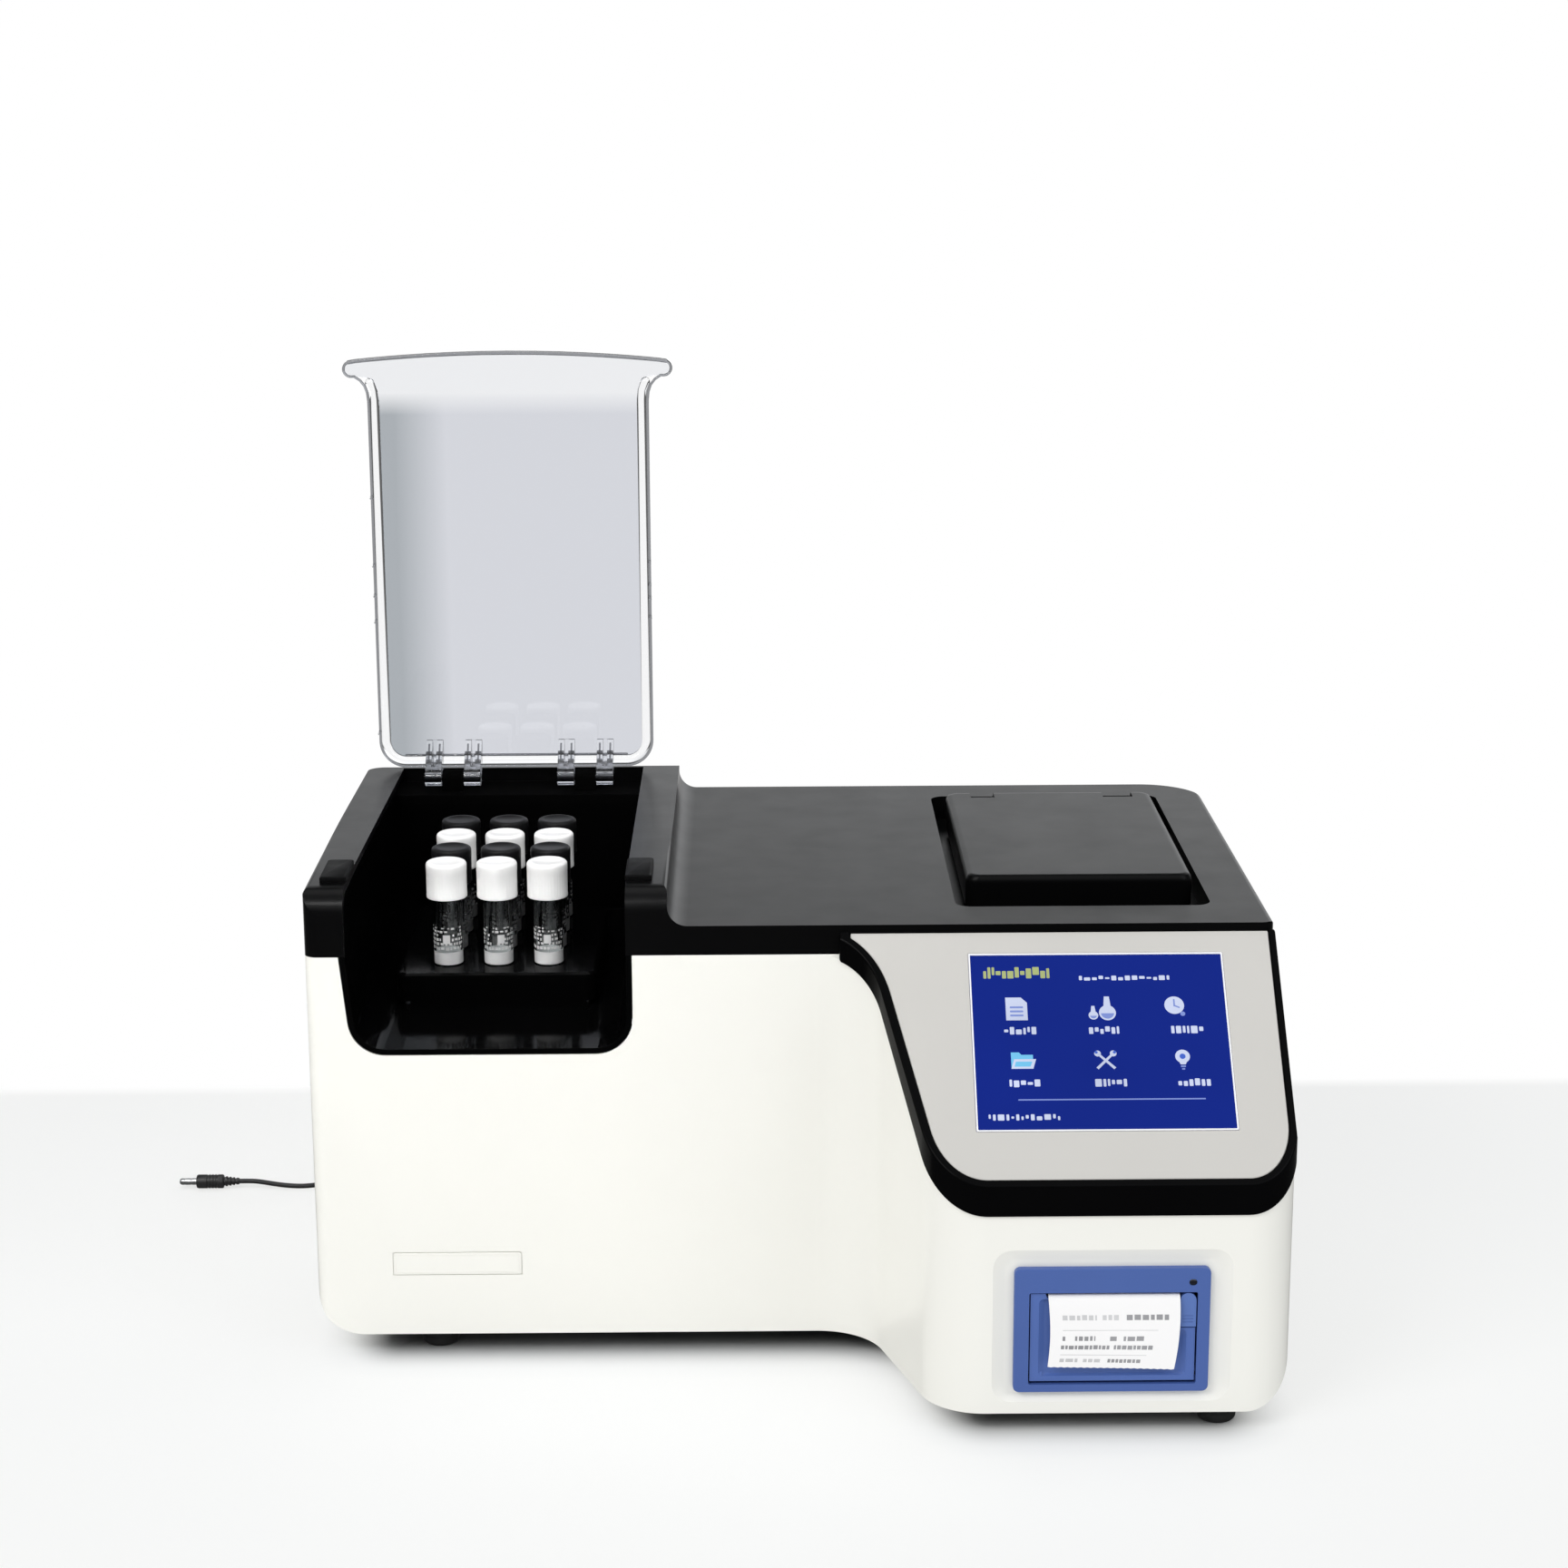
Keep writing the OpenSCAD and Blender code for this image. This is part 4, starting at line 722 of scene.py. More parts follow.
def wrap(bm, cx, cy, r, a0, a1, z0, z1, t=0.07):
    """Small raised mark on a round wall, angles in degrees."""
    n = max(1, int(abs(a1 - a0) / 7))
    grid = []
    for i in range(n + 1):
        a = math.radians(a0 + (a1 - a0) * i / n)
        d = (math.cos(a), math.sin(a))
        grid.append([bm.verts.new((cx + d[0] * rr, cy + d[1] * rr, z)) for rr, z in ((r, z0), (r + t, z0), (r + t, z1), (r, z1))])
    for p, q in zip(grid, grid[1:]):
        for k in range(4):
            bm.faces.new((p[k], p[(k + 1) % 4], q[(k + 1) % 4], q[k]))
    if abs(a1 - a0) < 359.9:
        bm.faces.new(grid[0])
        bm.faces.new(grid[-1][::-1])


def make_vial(name, c, r, cap, seed):
    rnd = random.Random(seed)
    cx, cy = XV + c * VDX, YV + r * VDY
    R = 6.7
    prof = [(0.0, 109.5)] + [(1.4, 109.2)] + [(R - 4.5 + 4.5 * math.cos(math.radians(a)), 113.3 + 4.5 * math.sin(math.radians(a))) for a in range(-84, 1, 12)]
    prof += [(R, 189.6), (R - 0.2, 191.2), (R - 0.8, 192.3), (R - 0.8, 206.9), (R - 1.8, 206.9), (R - 1.8, 192.7), (R - 1.15, 191.0), (R - 1.0, 189.4), (R - 1.0, 114.0)]
    prof += [(R - 4.5 + 3.5 * math.cos(math.radians(a)), 113.5 + 3.5 * math.sin(math.radians(a))) for a in range(-6, -85, -13)] + [(1.4, 110.3), (0.0, 110.6)]
    glass = piece(lathe(prof, cx, cy, 56), name + "_glass", M["glass"], name, 0, replaces=(name,), tidy_up=False)
    # cap: fine upright ribs between a lower band and a rounded top
    prof = [(R + 0.25, 193.8), (9.25, 193.8), (9.5, 194.05), (9.5, 195.3), (9.42, 195.7), (9.42, 206.0), (9.5, 206.6), (9.5, 208.9)]
    prof += [(7.9 + 1.6 * math.cos(math.radians(a)), 209.2 + 1.6 * math.sin(math.radians(a))) for a in (18, 36, 54, 72, 90)]
    prof += [(6.4, 210.8), (6.1, 210.6), (0.0, 210.6), (0.0, 208.0), (R + 0.25, 208.0)]
    ribs = piece(lathe(prof, cx, cy, 120, lambda k, i: -0.26 if k in (4, 5) and i % 3 == 0 else 0.0), name + "_cap", M["cap_white" if cap == "white" else "cap_black"], name, 0, tidy_up=False)
    # generic printed marks: rows of dashes, a write-on patch and a pale band low down
    bm = bmesh.new()
    wrap(bm, cx, cy, R, 0, 360, 162.1, 168.0, 0.06)
    turn = rnd.uniform(-20, 20)
    for z, h, dense in ((169.4, 1.3, 0.85), (171.6, 1.2, 0.8), (173.7, 1.15, 0.8), (175.8, 1.1, 0.75), (177.7, 0.9, 0.6), (179.4, 0.7, 0.35)):
        a = 188.0 + turn
        while a < 352 + turn:
            w = rnd.uniform(5.0, 14.0)
            if rnd.random() < dense and not (262 + turn < a < 292 + turn and 172 < z < 177):
                wrap(bm, cx, cy, R, a, a + w, z + rnd.uniform(-0.2, 0.2), z + h)
            a += w + rnd.uniform(3.5, 8.0)
    wrap(bm, cx, cy, R, 268 + turn, 297 + turn, 172.4, 176.6)
    # rows behind the front one take the darker ink: painted shade
    marks = piece(from_bm(bm), name + "_marks", M["ink" if r == 0 else "ink_painted_shade"], name, 0, tidy_up=False)
    return glass, ribs, marks


# ------------------------------------------------------------------ clear lid
LXW, LHY, LHZ = -138.0, 236.0, 213.0
LID_W, LID_FW, LID_LEN, LID_T = 142.0, 164.0, 198.0, 2.6
LID_Y = LHY + 13.3


def lid_flare():
    return [(71.05, 192), (71.5, 196), (72.7, 199.4), (74.7, 201.9)]


def lid_half(d):
    """Half of the lid's outline, d inside the edge at the lip, as (x, z) from the hinge's middle."""
    return arc((78.6, 208.1), 4.5 - d, -105, 72, 14) + [(x, 212.6 - d + 4.2 * (1 - (x / 80) ** 2)) for x in (76, 70, 62, 52, 40, 27, 14)]


def whole_lid(half):
    pts = half + [(0.0, half[-1][1] + 0.12)] + [(-x, z) for x, z in reversed(half)]
    return tidy([(LXW + x, LHZ + z) for x, z in pts])


def inset(path, d):
    out = []
    for i, c in enumerate(path):
        a, b = path[i - 1], path[(i + 1) % len(path)]
        k = math.dist(a, b)
        out.append((c[0] - (b[1] - a[1]) / k * d, c[1] + (b[0] - a[0]) / k * d))
    return out


def band(path, r_in, r_y, y, n=18):
    """Round bar all the way round a closed line of (x, z) points; r_in gives its half width at a point."""
    rings = []
    for i, c in enumerate(path):
        a, b = path[i - 1], path[(i + 1) % len(path)]
        k = math.dist(a, b)
        t = ((b[0] - a[0]) / k, (b[1] - a[1]) / k)
        w = r_in(c)
        rings.append([(c[0] + t[1] * w * math.cos(q), y + r_y * math.sin(q), c[1] - t[0] * w * math.cos(q)) for q in [2 * math.pi * m / n for m in range(n)]])
    return loft(rings, closed=True)


def bead(path, r_in, r_y, y, n=20, ends=5):
    """Round bar along a line of (x, z) points at depth y, with round ends."""
    rings = []

    def ring(c, t, k):
        return [(c[0] + t[1] * r_in * k * math.cos(q), y + r_y * k * math.sin(q), c[1] - t[0] * r_in * k * math.cos(q)) for q in [2 * math.pi * m / n for m in range(n)]]

    last = len(path) - 1
    for i, c in enumerate(path):
        a, b = path[max(i - 1, 0)], path[min(i + 1, last)]
        d = math.dist(a, b)
        t = ((b[0] - a[0]) / d, (b[1] - a[1]) / d)
        turn = [math.radians(10 + 80 * m / ends) for m in range(ends)]
        if i == 0:
            rings += [ring((c[0] - t[0] * r_in * math.cos(w), c[1] - t[1] * r_in * math.cos(w)), t, math.sin(w)) for w in turn]
        rings.append(ring(c, t, 1.0))
        if i == last:
            rings += [ring((c[0] + t[0] * r_in * math.cos(w), c[1] + t[1] * r_in * math.cos(w)), t, math.sin(w)) for w in reversed(turn)]
    return loft(rings)


TABS = (-180, -160, -112, -92)


def make_lid():
    foot = [(0.0, 2.0), (30.0, 2.0)] + arc((57, 16), 14, 270, 360, 16) + [(71, z) for z in (24, 40, 70, 110, 150, 180, 188)] + lid_flare()
    edge = whole_lid(foot + lid_half(0.0))
    sheet = whole_lid([(0.0, 8.0)] + arc((57, 16), 8, 270, 360, 12) + [(65, 188), (65.6, 196), (67.4, 201), (70.6, 204)] + lid_half(1.2)[1:])
    a = prism(sheet, "y", LID_Y, LID_Y + LID_T)
    # hinge tabs with a slot up the middle
    for t in TABS:
        arm = prism([(LHY - 4.2, LHZ), (LHY + 4.2, LHZ), (LID_Y + 0.5, LHZ + 5), (LID_Y + 0.5, LHZ + 17), (LID_Y - 2, LHZ + 17)], "x", t - 4.25, t + 4.25)
        join(arm, rod("x", t - 4.25, t + 4.25, (LHY, LHZ), 4.2, 40))
        cut(arm, box(t - 1.1, t + 1.1, LHY - 8, LID_Y - 0.6, LHZ + 5.5, LHZ + 19))
        join(a, arm)
    cut(a, *[rod("x", t - 5, t + 5, (LHY, LHZ), 1.66, 32) for t in TABS])
    rounded(clean(a), 0.4)
    piece(a, "clear_cover", M["lid"], "clear_lid", 0, replaces=("clear_lid",), even=True)
    # rolled border up both sides and round the foot, drawn clearer and paler than the sheet: a painted highlight
    run = [p for p in inset(whole_lid(foot), 3.8)[:len(foot) - 1]]
    run = [(2 * LXW - x, z) for x, z in reversed(run)][:-1] + run
    b = bead(run, 2.4, 2.7, LID_Y + 1.0)
    for x, zs in ((LXW - LID_W / 2, (356.5, 321.5, 306, 292.5, 234)), (LXW + LID_W / 2, (322.5, 311, 304, 294))):
        join(b, *[fbox(x - 0.75 * k - 0.9, x - 0.75 * k + 0.9, LID_Y - 1.9, LID_Y + 0.6, z - 0.9, z + 0.9, 0.5, 4) for z in zs for k in (1 if x > LXW else -1,)])
    piece(b, "lid_border", M["lid_border"], "clear_lid", 0, tidy_up=False)
    # painted shade: the edge is seen end on and looks dark, so a dark clear band is drawn along it, with a dark line
    # across the lid's foot and dark strips on the tab arms
    c = band(inset(edge, 0.8), lambda q: 1.05 if q[1] > LHZ + 211.4 else 0.72, 1.3, LID_Y + 0.9)
    join(c, bead([(LXW - 57 + 6 * k, LHZ + 9.0) for k in range(20)], 0.6, 0.9, LID_Y - 0.6, 12, 4))
    for t in TABS:
        for x in (t - 3.2, t + 2.2):
            join(c, prism([(LHY - 4.5 + 15.5 * u / 17, LHZ + u) for u in (8, 15.5)] + [(LHY - 3.9 + 15.5 * u / 17, LHZ + u) for u in (15.5, 8)], "x", x, x + 1.0))
    piece(c, "lid_outline", M["lid_edge"], "clear_lid", 0, tidy_up=False)


def make_knuckles():
    for k in (-170, -102):
        a = join(rod("x", k - 5.3, k + 5.3, (LHY, LHZ), 4.2, 40), box(k - 5.3, k + 5.3, LHY - 4.2, LHY + 4.2, 206.62, LHZ))
        cut(a, rod("x", k - 6, k + 6, (LHY, LHZ), 1.6, 32))
        if k < -150:
            whole = a
        else:
            join(whole, a)
    piece(whole, "lid_knuckles", M["ledge"], "base", 0.4, 2, 40, replaces=("hinge_knuckles",))
    for n, (p0, p1) in enumerate(POSTS):
        a = join(rod("x", p0, p1, (212, 203), 4.4, 40), box(p0, p1, 212 - 4.4, 212 + 4.4, DECK - 12, 203))
        cut(a, rod("x", p0 - 1, p1 + 1, (212, 203), 1.5, 32))
        if n == 0:
            posts = a
        else:
            join(posts, a)
    piece(posts, "lid_posts", M["black"], "base", 0.35, 2, 40)


# ------------------------------------------------------------------ measuring compartment
POSTS = ((95, 106), (162, 176))


def make_measuring_lid():
    top = 208.4
    a = loft([[(x, y, z) for x, y in rrect(82 + i, 186.5 - i, 57 + i, 217 - i, 6 - 0.6 * i, 10)] for z, i in ((193.4, 0.0), (204.9, 0.0), (206.6, 0.35), (207.8, 1.15), (208.25, 2.2), (208.4, 3.6))])
    cut(a, rbox(85, 183.5, 60, 203, 190, top - 3, 3), box(0, 300, 203, 230, 190, top - 3), box(85, 183.5, 190, 214, 190, top - 3))
    ears = []
    for p0, p1 in POSTS:
        for x in (p0 - 6, p1 + 0.5):
            join(a, rod("x", x, x + 5.5, (212, 203), 4.4, 40))
    for p0, p1 in POSTS:
        cut(a, box(p0 - 0.5, p1 + 0.5, 205.5, 220, 190, top + 1), rod("x", p0 - 7, p1 + 7, (212, 203), 1.56, 32))
    return piece(a, "measuring_lid", M["black"], "cuvette_lid", 0.6, 3, replaces=("cuvette_lid",))


# ------------------------------------------------------------------ console
def console_blank(o, x0, y1, prof, dy=0.0):
    a = prism([(x, y + dy) for x, y in plan(o)], "z", 80, 220)
    meet(a, box(x0, HW - max(o, 0), -FWD - 10, y1, 70, 230), prism(prof, "x", x0 - 1, HW + 2))
    return a


SX0, SX1, SS0, SS1 = 78.5, 190.5, 11.5, 98.0


def make_console():
    z_at = TOP_Z + LIP_Y * math.tan(SLOPE)
    a = console_blank(-1, 22, 0, [(0, BACK0), (0, TOP_Z), (LIP_Y, z_at), (LIP_Y, BACK1)])
    cut(a, console_blank(3.2, 26.9, 0.1, [con(-10, -3), con(140, -3), con(140, 5), con(-10, 5)], -1.7),
        console_blank(8, 45, -8, [con(-30, -40), con(150, -40), con(150, 5), con(-30, 5)]),
        slope_box(SX0 - 3.3, SX1 + 3.3, SS0 - 1.8, SS1 + 3.3, -40, -2.9))
    piece(a, "console_rim", M["gloss"], "base", 0.8, 3, replaces=("console_frame",))
    b = console_blank(3.3, 27, -0.4, [con(-10, -3), con(140, -3), con(140, -0.3), con(-10, -0.3)], -1.7)
    cut(b, slope_box(SX0, SX1, SS0, SS1, -10, 10))
    piece(b, "console_face", M["panel"], "base", 0.45, 3, replaces=("console_panel",))


def on_slope(pts, n0, n1):
    """Ring of (x, s) points on the slope at two heights."""
    return [[(x, *con(s, n)) for x, s in pts] for n in (n0, n1)]


def make_screen():
    a = loft(on_slope(rrect(SX0 + 0.15, SX1 - 0.15, SS0 + 0.15, SS1 - 0.15, 0.6, 4), -3.5, -0.9))
    piece(a, "screen_glass", M["screen"], "base", 0.2, 2, replaces=("touch_screen",))
    # painted highlight: a pale thin ring round the window in place of the light on its cut edge
    t = cut(loft(on_slope(rrect(SX0 + 0.1, SX1 - 0.1, SS0 + 0.1, SS1 - 0.1, 0.5, 4), -0.95, -0.28)), loft(on_slope(rrect(SX0 + 0.75, SX1 - 0.75, SS0 + 0.75, SS1 - 0.75, 0.4, 4), -3, 3)))
    piece(t, "screen_edge", M["trim"], "base", 0)
    shapes = {k: bmesh.new() for k in ("ui_white", "ui_soft", "ui_teal", "ui_blue", "ui_yellow")}

    def put(key, pts, level=0):
        pts = tidy(pts)
        bm = shapes[key]
        lo, hi = -0.9 - 0.02, -0.9 + 0.03 + 0.03 * level
        x, s = SX0 + 0.15, SS0 + 0.15
        va = [bm.verts.new((x + p[0], *con(s + p[1], lo))) for p in pts]
        vb = [bm.verts.new((x + p[0], *con(s + p[1], hi))) for p in pts]
        bm.faces.new(va)
        bm.faces.new(vb[::-1])
        ring_faces(bm, va, vb)

    W, H = SX1 - SX0 - 0.3, SS1 - SS0 - 0.3

    def bar(key, u0, u1, v0, v1, r=0.5, level=0):
        x0, x1, y0, y1 = u0 * W, u1 * W, v0 * H, v1 * H
        put(key, rrect(x0, x1, y0, y1, min(r, (y1 - y0) * 0.49, (x1 - x0) * 0.49), 3), level)

    def words(key, u0, u1, v0, v1, seed, gap=0.9):
        """A caption shown as a row of short plain bars."""
        rnd = random.Random(seed)
        x = u0 * W
        while x < u1 * W - 0.5:
            w = min(rnd.uniform(0.9, 2.9), u1 * W - x)
            top = v0 + (v1 - v0) * rnd.choice((0.0, 0.0, 0.12, 0.34))
            low = v1 - (v1 - v0) * rnd.choice((0.0, 0.0, 0.08, 0.3))
            bar(key, x / W, (x + w) / W, top, low, 0.35)
            x += w + gap

    # head bar and title
    words("ui_yellow", 0.055, 0.315, 0.075, 0.14, 8, 0.55)
    words("ui_white", 0.43, 0.79, 0.128, 0.155, 3, 0.8)
    # page
    cx, cy = 0.177 * W, 0.315 * H
    put("ui_white", [(cx - 4.6, cy - 5.6), (cx + 2.2, cy - 5.6), (cx + 4.8, cy - 3.0), (cx + 4.8, cy + 5.6), (cx - 4.6, cy + 5.6)])
    for k in range(3):
        put("ui_soft", rrect(cx - 2.8, cx + 3.0, cy - 1.2 + k * 2.0, cy - 0.3 + k * 2.0, 0.3, 3), 1)
    # two flasks with their filling
    cx, cy = 0.532 * W, 0.315 * H
    bulb = arc((cx, cy + 2.2), 3.7, -65, 245, 22)
    put("ui_white", bulb + [(cx - 1.1, cy - 5.8), (cx + 1.1, cy - 5.8)])
    put("ui_soft", arc((cx, cy + 2.2), 2.9, 5, 175, 14), 1)
    small = arc((cx - 6.2, cy + 3.4), 2.1, -60, 240, 18)
    put("ui_white", small + [(cx - 6.9, cy - 1.2), (cx - 5.5, cy - 1.2)])
    put("ui_soft", arc((cx - 6.2, cy + 3.4), 1.5, 10, 170, 10), 1)
    # dial
    cx, cy = 0.795 * W, 0.30 * H
    put("ui_white", circle((cx, cy), 4.3, 36))
    put("ui_soft", [(cx - 0.35, cy + 0.6), (cx - 0.35, cy - 3.0), (cx + 0.35, cy - 3.0), (cx + 0.35, cy + 0.6)], 1)
    put("ui_soft", [(cx - 0.2, cy - 0.3), (cx + 2.4, cy + 0.9), (cx + 2.1, cy + 1.5), (cx - 0.4, cy + 0.4)], 1)
    put("ui_soft", circle((cx + 3.4, cy + 4.2), 1.1, 16))
    # folder
    cx, cy = 0.19 * W, 0.61 * H
    put("ui_teal", [(cx - 4.9, cy - 4.2), (cx - 1.4, cy - 4.2), (cx - 0.4, cy - 3.0), (cx + 4.6, cy - 3.0), (cx + 4.6, cy + 3.6), (cx - 4.9, cy + 3.6)])
    put("ui_white", [(cx - 3.6, cy - 0.9), (cx + 5.9, cy - 0.9), (cx + 4.5, cy + 3.7), (cx - 5.0, cy + 3.7)], 1)
    put("ui_teal", [(cx - 2.9, cy + 0.3), (cx + 4.2, cy + 0.3), (cx + 3.3, cy + 2.7), (cx - 3.6, cy + 2.7)], 2)
    # crossed tools
    cx, cy = 0.512 * W, 0.61 * H
    for sgn in (-1, 1):
        d, n = (sgn * 0.707, 0.707), (-0.707, sgn * 0.707)
        put("ui_white", [(cx + d[0] * a + n[0] * b, cy + d[1] * a + n[1] * b) for a, b in ((-4.6, -0.5), (5.4, -0.62), (5.4, 0.62), (-4.6, 0.5))], 0 if sgn < 0 else 1)
        put("ui_white", circle((cx - d[0] * 4.8, cy - d[1] * 4.8), 1.45, 18), 1)
        put("ui_blue", circle((cx - d[0] * 5.6, cy - d[1] * 5.6), 0.7, 14), 2)
    # lamp
    cx, cy = 0.81 * W, 0.60 * H
    put("ui_white", arc((cx, cy - 0.9), 3.2, -240, 60, 24) + [(cx + 1.1, cy + 3.0), (cx - 1.1, cy + 3.0)])
    put("ui_blue", circle((cx, cy - 0.9), 1.3, 18), 1)
    put("ui_soft", rrect(cx - 1.1, cx + 1.1, cy + 3.5, cy + 4.3, 0.3, 3))
    put("ui_soft", rrect(cx - 0.7, cx + 0.7, cy + 4.8, cy + 5.5, 0.3, 3))
    # captions, divider and foot line
    for k, (u, v) in enumerate(((0.125, 0.41), (0.455, 0.41), (0.775, 0.41), (0.135, 0.705), (0.465, 0.705), (0.785, 0.705))):
        words("ui_white", u, u + 0.125, v + 0.008, v + 0.05, 11 + k, 0.7)
    bar("ui_soft", 0.165, 0.885, 0.822, 0.829, 0.2)
    words("ui_white", 0.048, 0.33, 0.905, 0.938, 31, 0.9)
    for key, bm in shapes.items():
        piece(from_bm(bm), "screen_" + key, M[key], "base", 0, smooth=False, tidy_up=False)


# ------------------------------------------------------------------ printer
def make_printer():
    a = loft([[(x, y, z) for x, z in rrect(94 + i, 177.6 - i, 19.5 + i, 76 - i, 2.6 - 0.3 * i, 7)] for y, i in ((PF + 2.45, 0.0), (PF - 0.2, 0.0), (PF - 0.66, 0.2), (PF - 0.9, 0.75))])
    join(a, box(96, 176, PF + 1.4, PF + 52, 21, 74))
    cut(a, fbox(100.4, 172.2, PF - 2, PF + 10, 23.2, 65.2, 0.9, 4), box(98.2, 173.4, PF + 1.6, PF + 49.5, 23, 72), fbox(168.3, 171.7, PF - 2, PF + 1.9, 68.3, 71.1, 1.35, 8))
    for x0, x1 in ((98.0, 100.6), (171.9, 173.6)):
        join(a, box(x0, x1, PF + 1.65, PF + 6, 22.9, 30.5))
    cut(a, rod("x", 97.2, 101, (2.5 - FWD, 27), 1.22, 24), rod("x", 171, 174.3, (2.5 - FWD, 27), 1.22, 24))
    piece(a, "printer_case", M["blue"], "base", 0.35, 2, replaces=("printer_bezel",))
    lens = loft([[(x, y, z) for x, z in rrect(168.35 + i, 171.65 - i, 68.35 + i, 71.05 - i, 1.32 - 0.9 * i, 8)] for y, i in ((PF + 1.9, 0.0), (PF - 0.85, 0.0), (PF - 1.1, 0.2), (PF - 1.2, 0.6))])
    piece(lens, "lamp_window", M["lens"], "base", 0, replaces=("status_led",))
    # door
    d = prism([(101, 24.5), (171.5, 24.5), (171.5, 48.6), (164.2, 48.6), (164.2, 62.6), (108.0, 62.6), (107.4, 64.6), (101, 64.6)], "y", PF, PF + 3)
    cut(d, loft([[(x, y, z) for x, z in rrect(105 + i, 167.5 - i, 27 + 0.4 * i, 47.6 - i, 2.0, 6)] for y, i in ((PF - 0.5, -0.8), (PF + 0.3, 0.0), (PF + 1.1, 1.6), (PF + 1.3, 2.6))]),
        loft([[(x, y, z) for x, z in rrect(105 + i, 162.6 - i, 38 + i, 62.1, 2.0, 6)] for y, i in ((PF - 0.5, -0.8), (PF + 0.3, 0.0), (PF + 1.1, 1.6), (PF + 1.3, 2.6))]))
    for x0, x1 in ((101, 106.5), (166.5, 171.5)):
        join(d, rod("x", x0, x1, (2.5 - FWD, 27), 2.4, 32))
    for x0, x1 in ((109.8, 112.2), (161.8, 164.2)):
        join(d, prism([(PF + 2.9, 34), (PF + 2.9, 48), (PF + 6.2, 48.8), (PF + 6.2, 61.4), (PF + 10.6, 61.4), (PF + 10.6, 52), (PF + 6, 36)], "x", x0, x1))
    cut(d, rod("x", 100, 107, (2.5 - FWD, 27), 1.26, 24), rod("x", 166, 172, (2.5 - FWD, 27), 1.26, 24), rod("x", 100, 175, (PF + 8, 58), 1.56, 24))
    # the door takes a lighter copy of the printer blue: painted light
    piece(d, "paper_door", M["blue_in"], "printer_door", 0.3, 2, replaces=("printer_door",))
    # release button with finger ribs
    b = prism([(164.7, 49.2), (171.7, 49.2)] + arc((168.2, 61.1), 3.5, 0, 180, 18), "y", PF - 0.5, PF + 4)
    join(b, box(165.2, 171, PF + 3.3, PF + 4, 45.6, 49.4))
    cut(b, *[box(166.1, 170.3, PF - 1, PF - 0.28, z, z + 0.5) for z in (51.2, 52.6, 54.0)])
    # the button takes a still lighter copy of the printer blue: painted light
    piece(b, "door_button", M["blue_key"], "release_button", 0.35, 3, replaces=("release_button",))


STRIP = [(PF + 12.9, 58.6), (PF + 12.2, 61.2), (PF + 9.5, 63.4), (PF + 5.5, 64.2), (PF + 2.5, 64.3), (PF - 0.8, 63.6), (PF - 2, 61), (PF - 2.4, 54), (PF - 2.5, 44), (PF - 2.3, 36), (PF - 2, 30.5)]


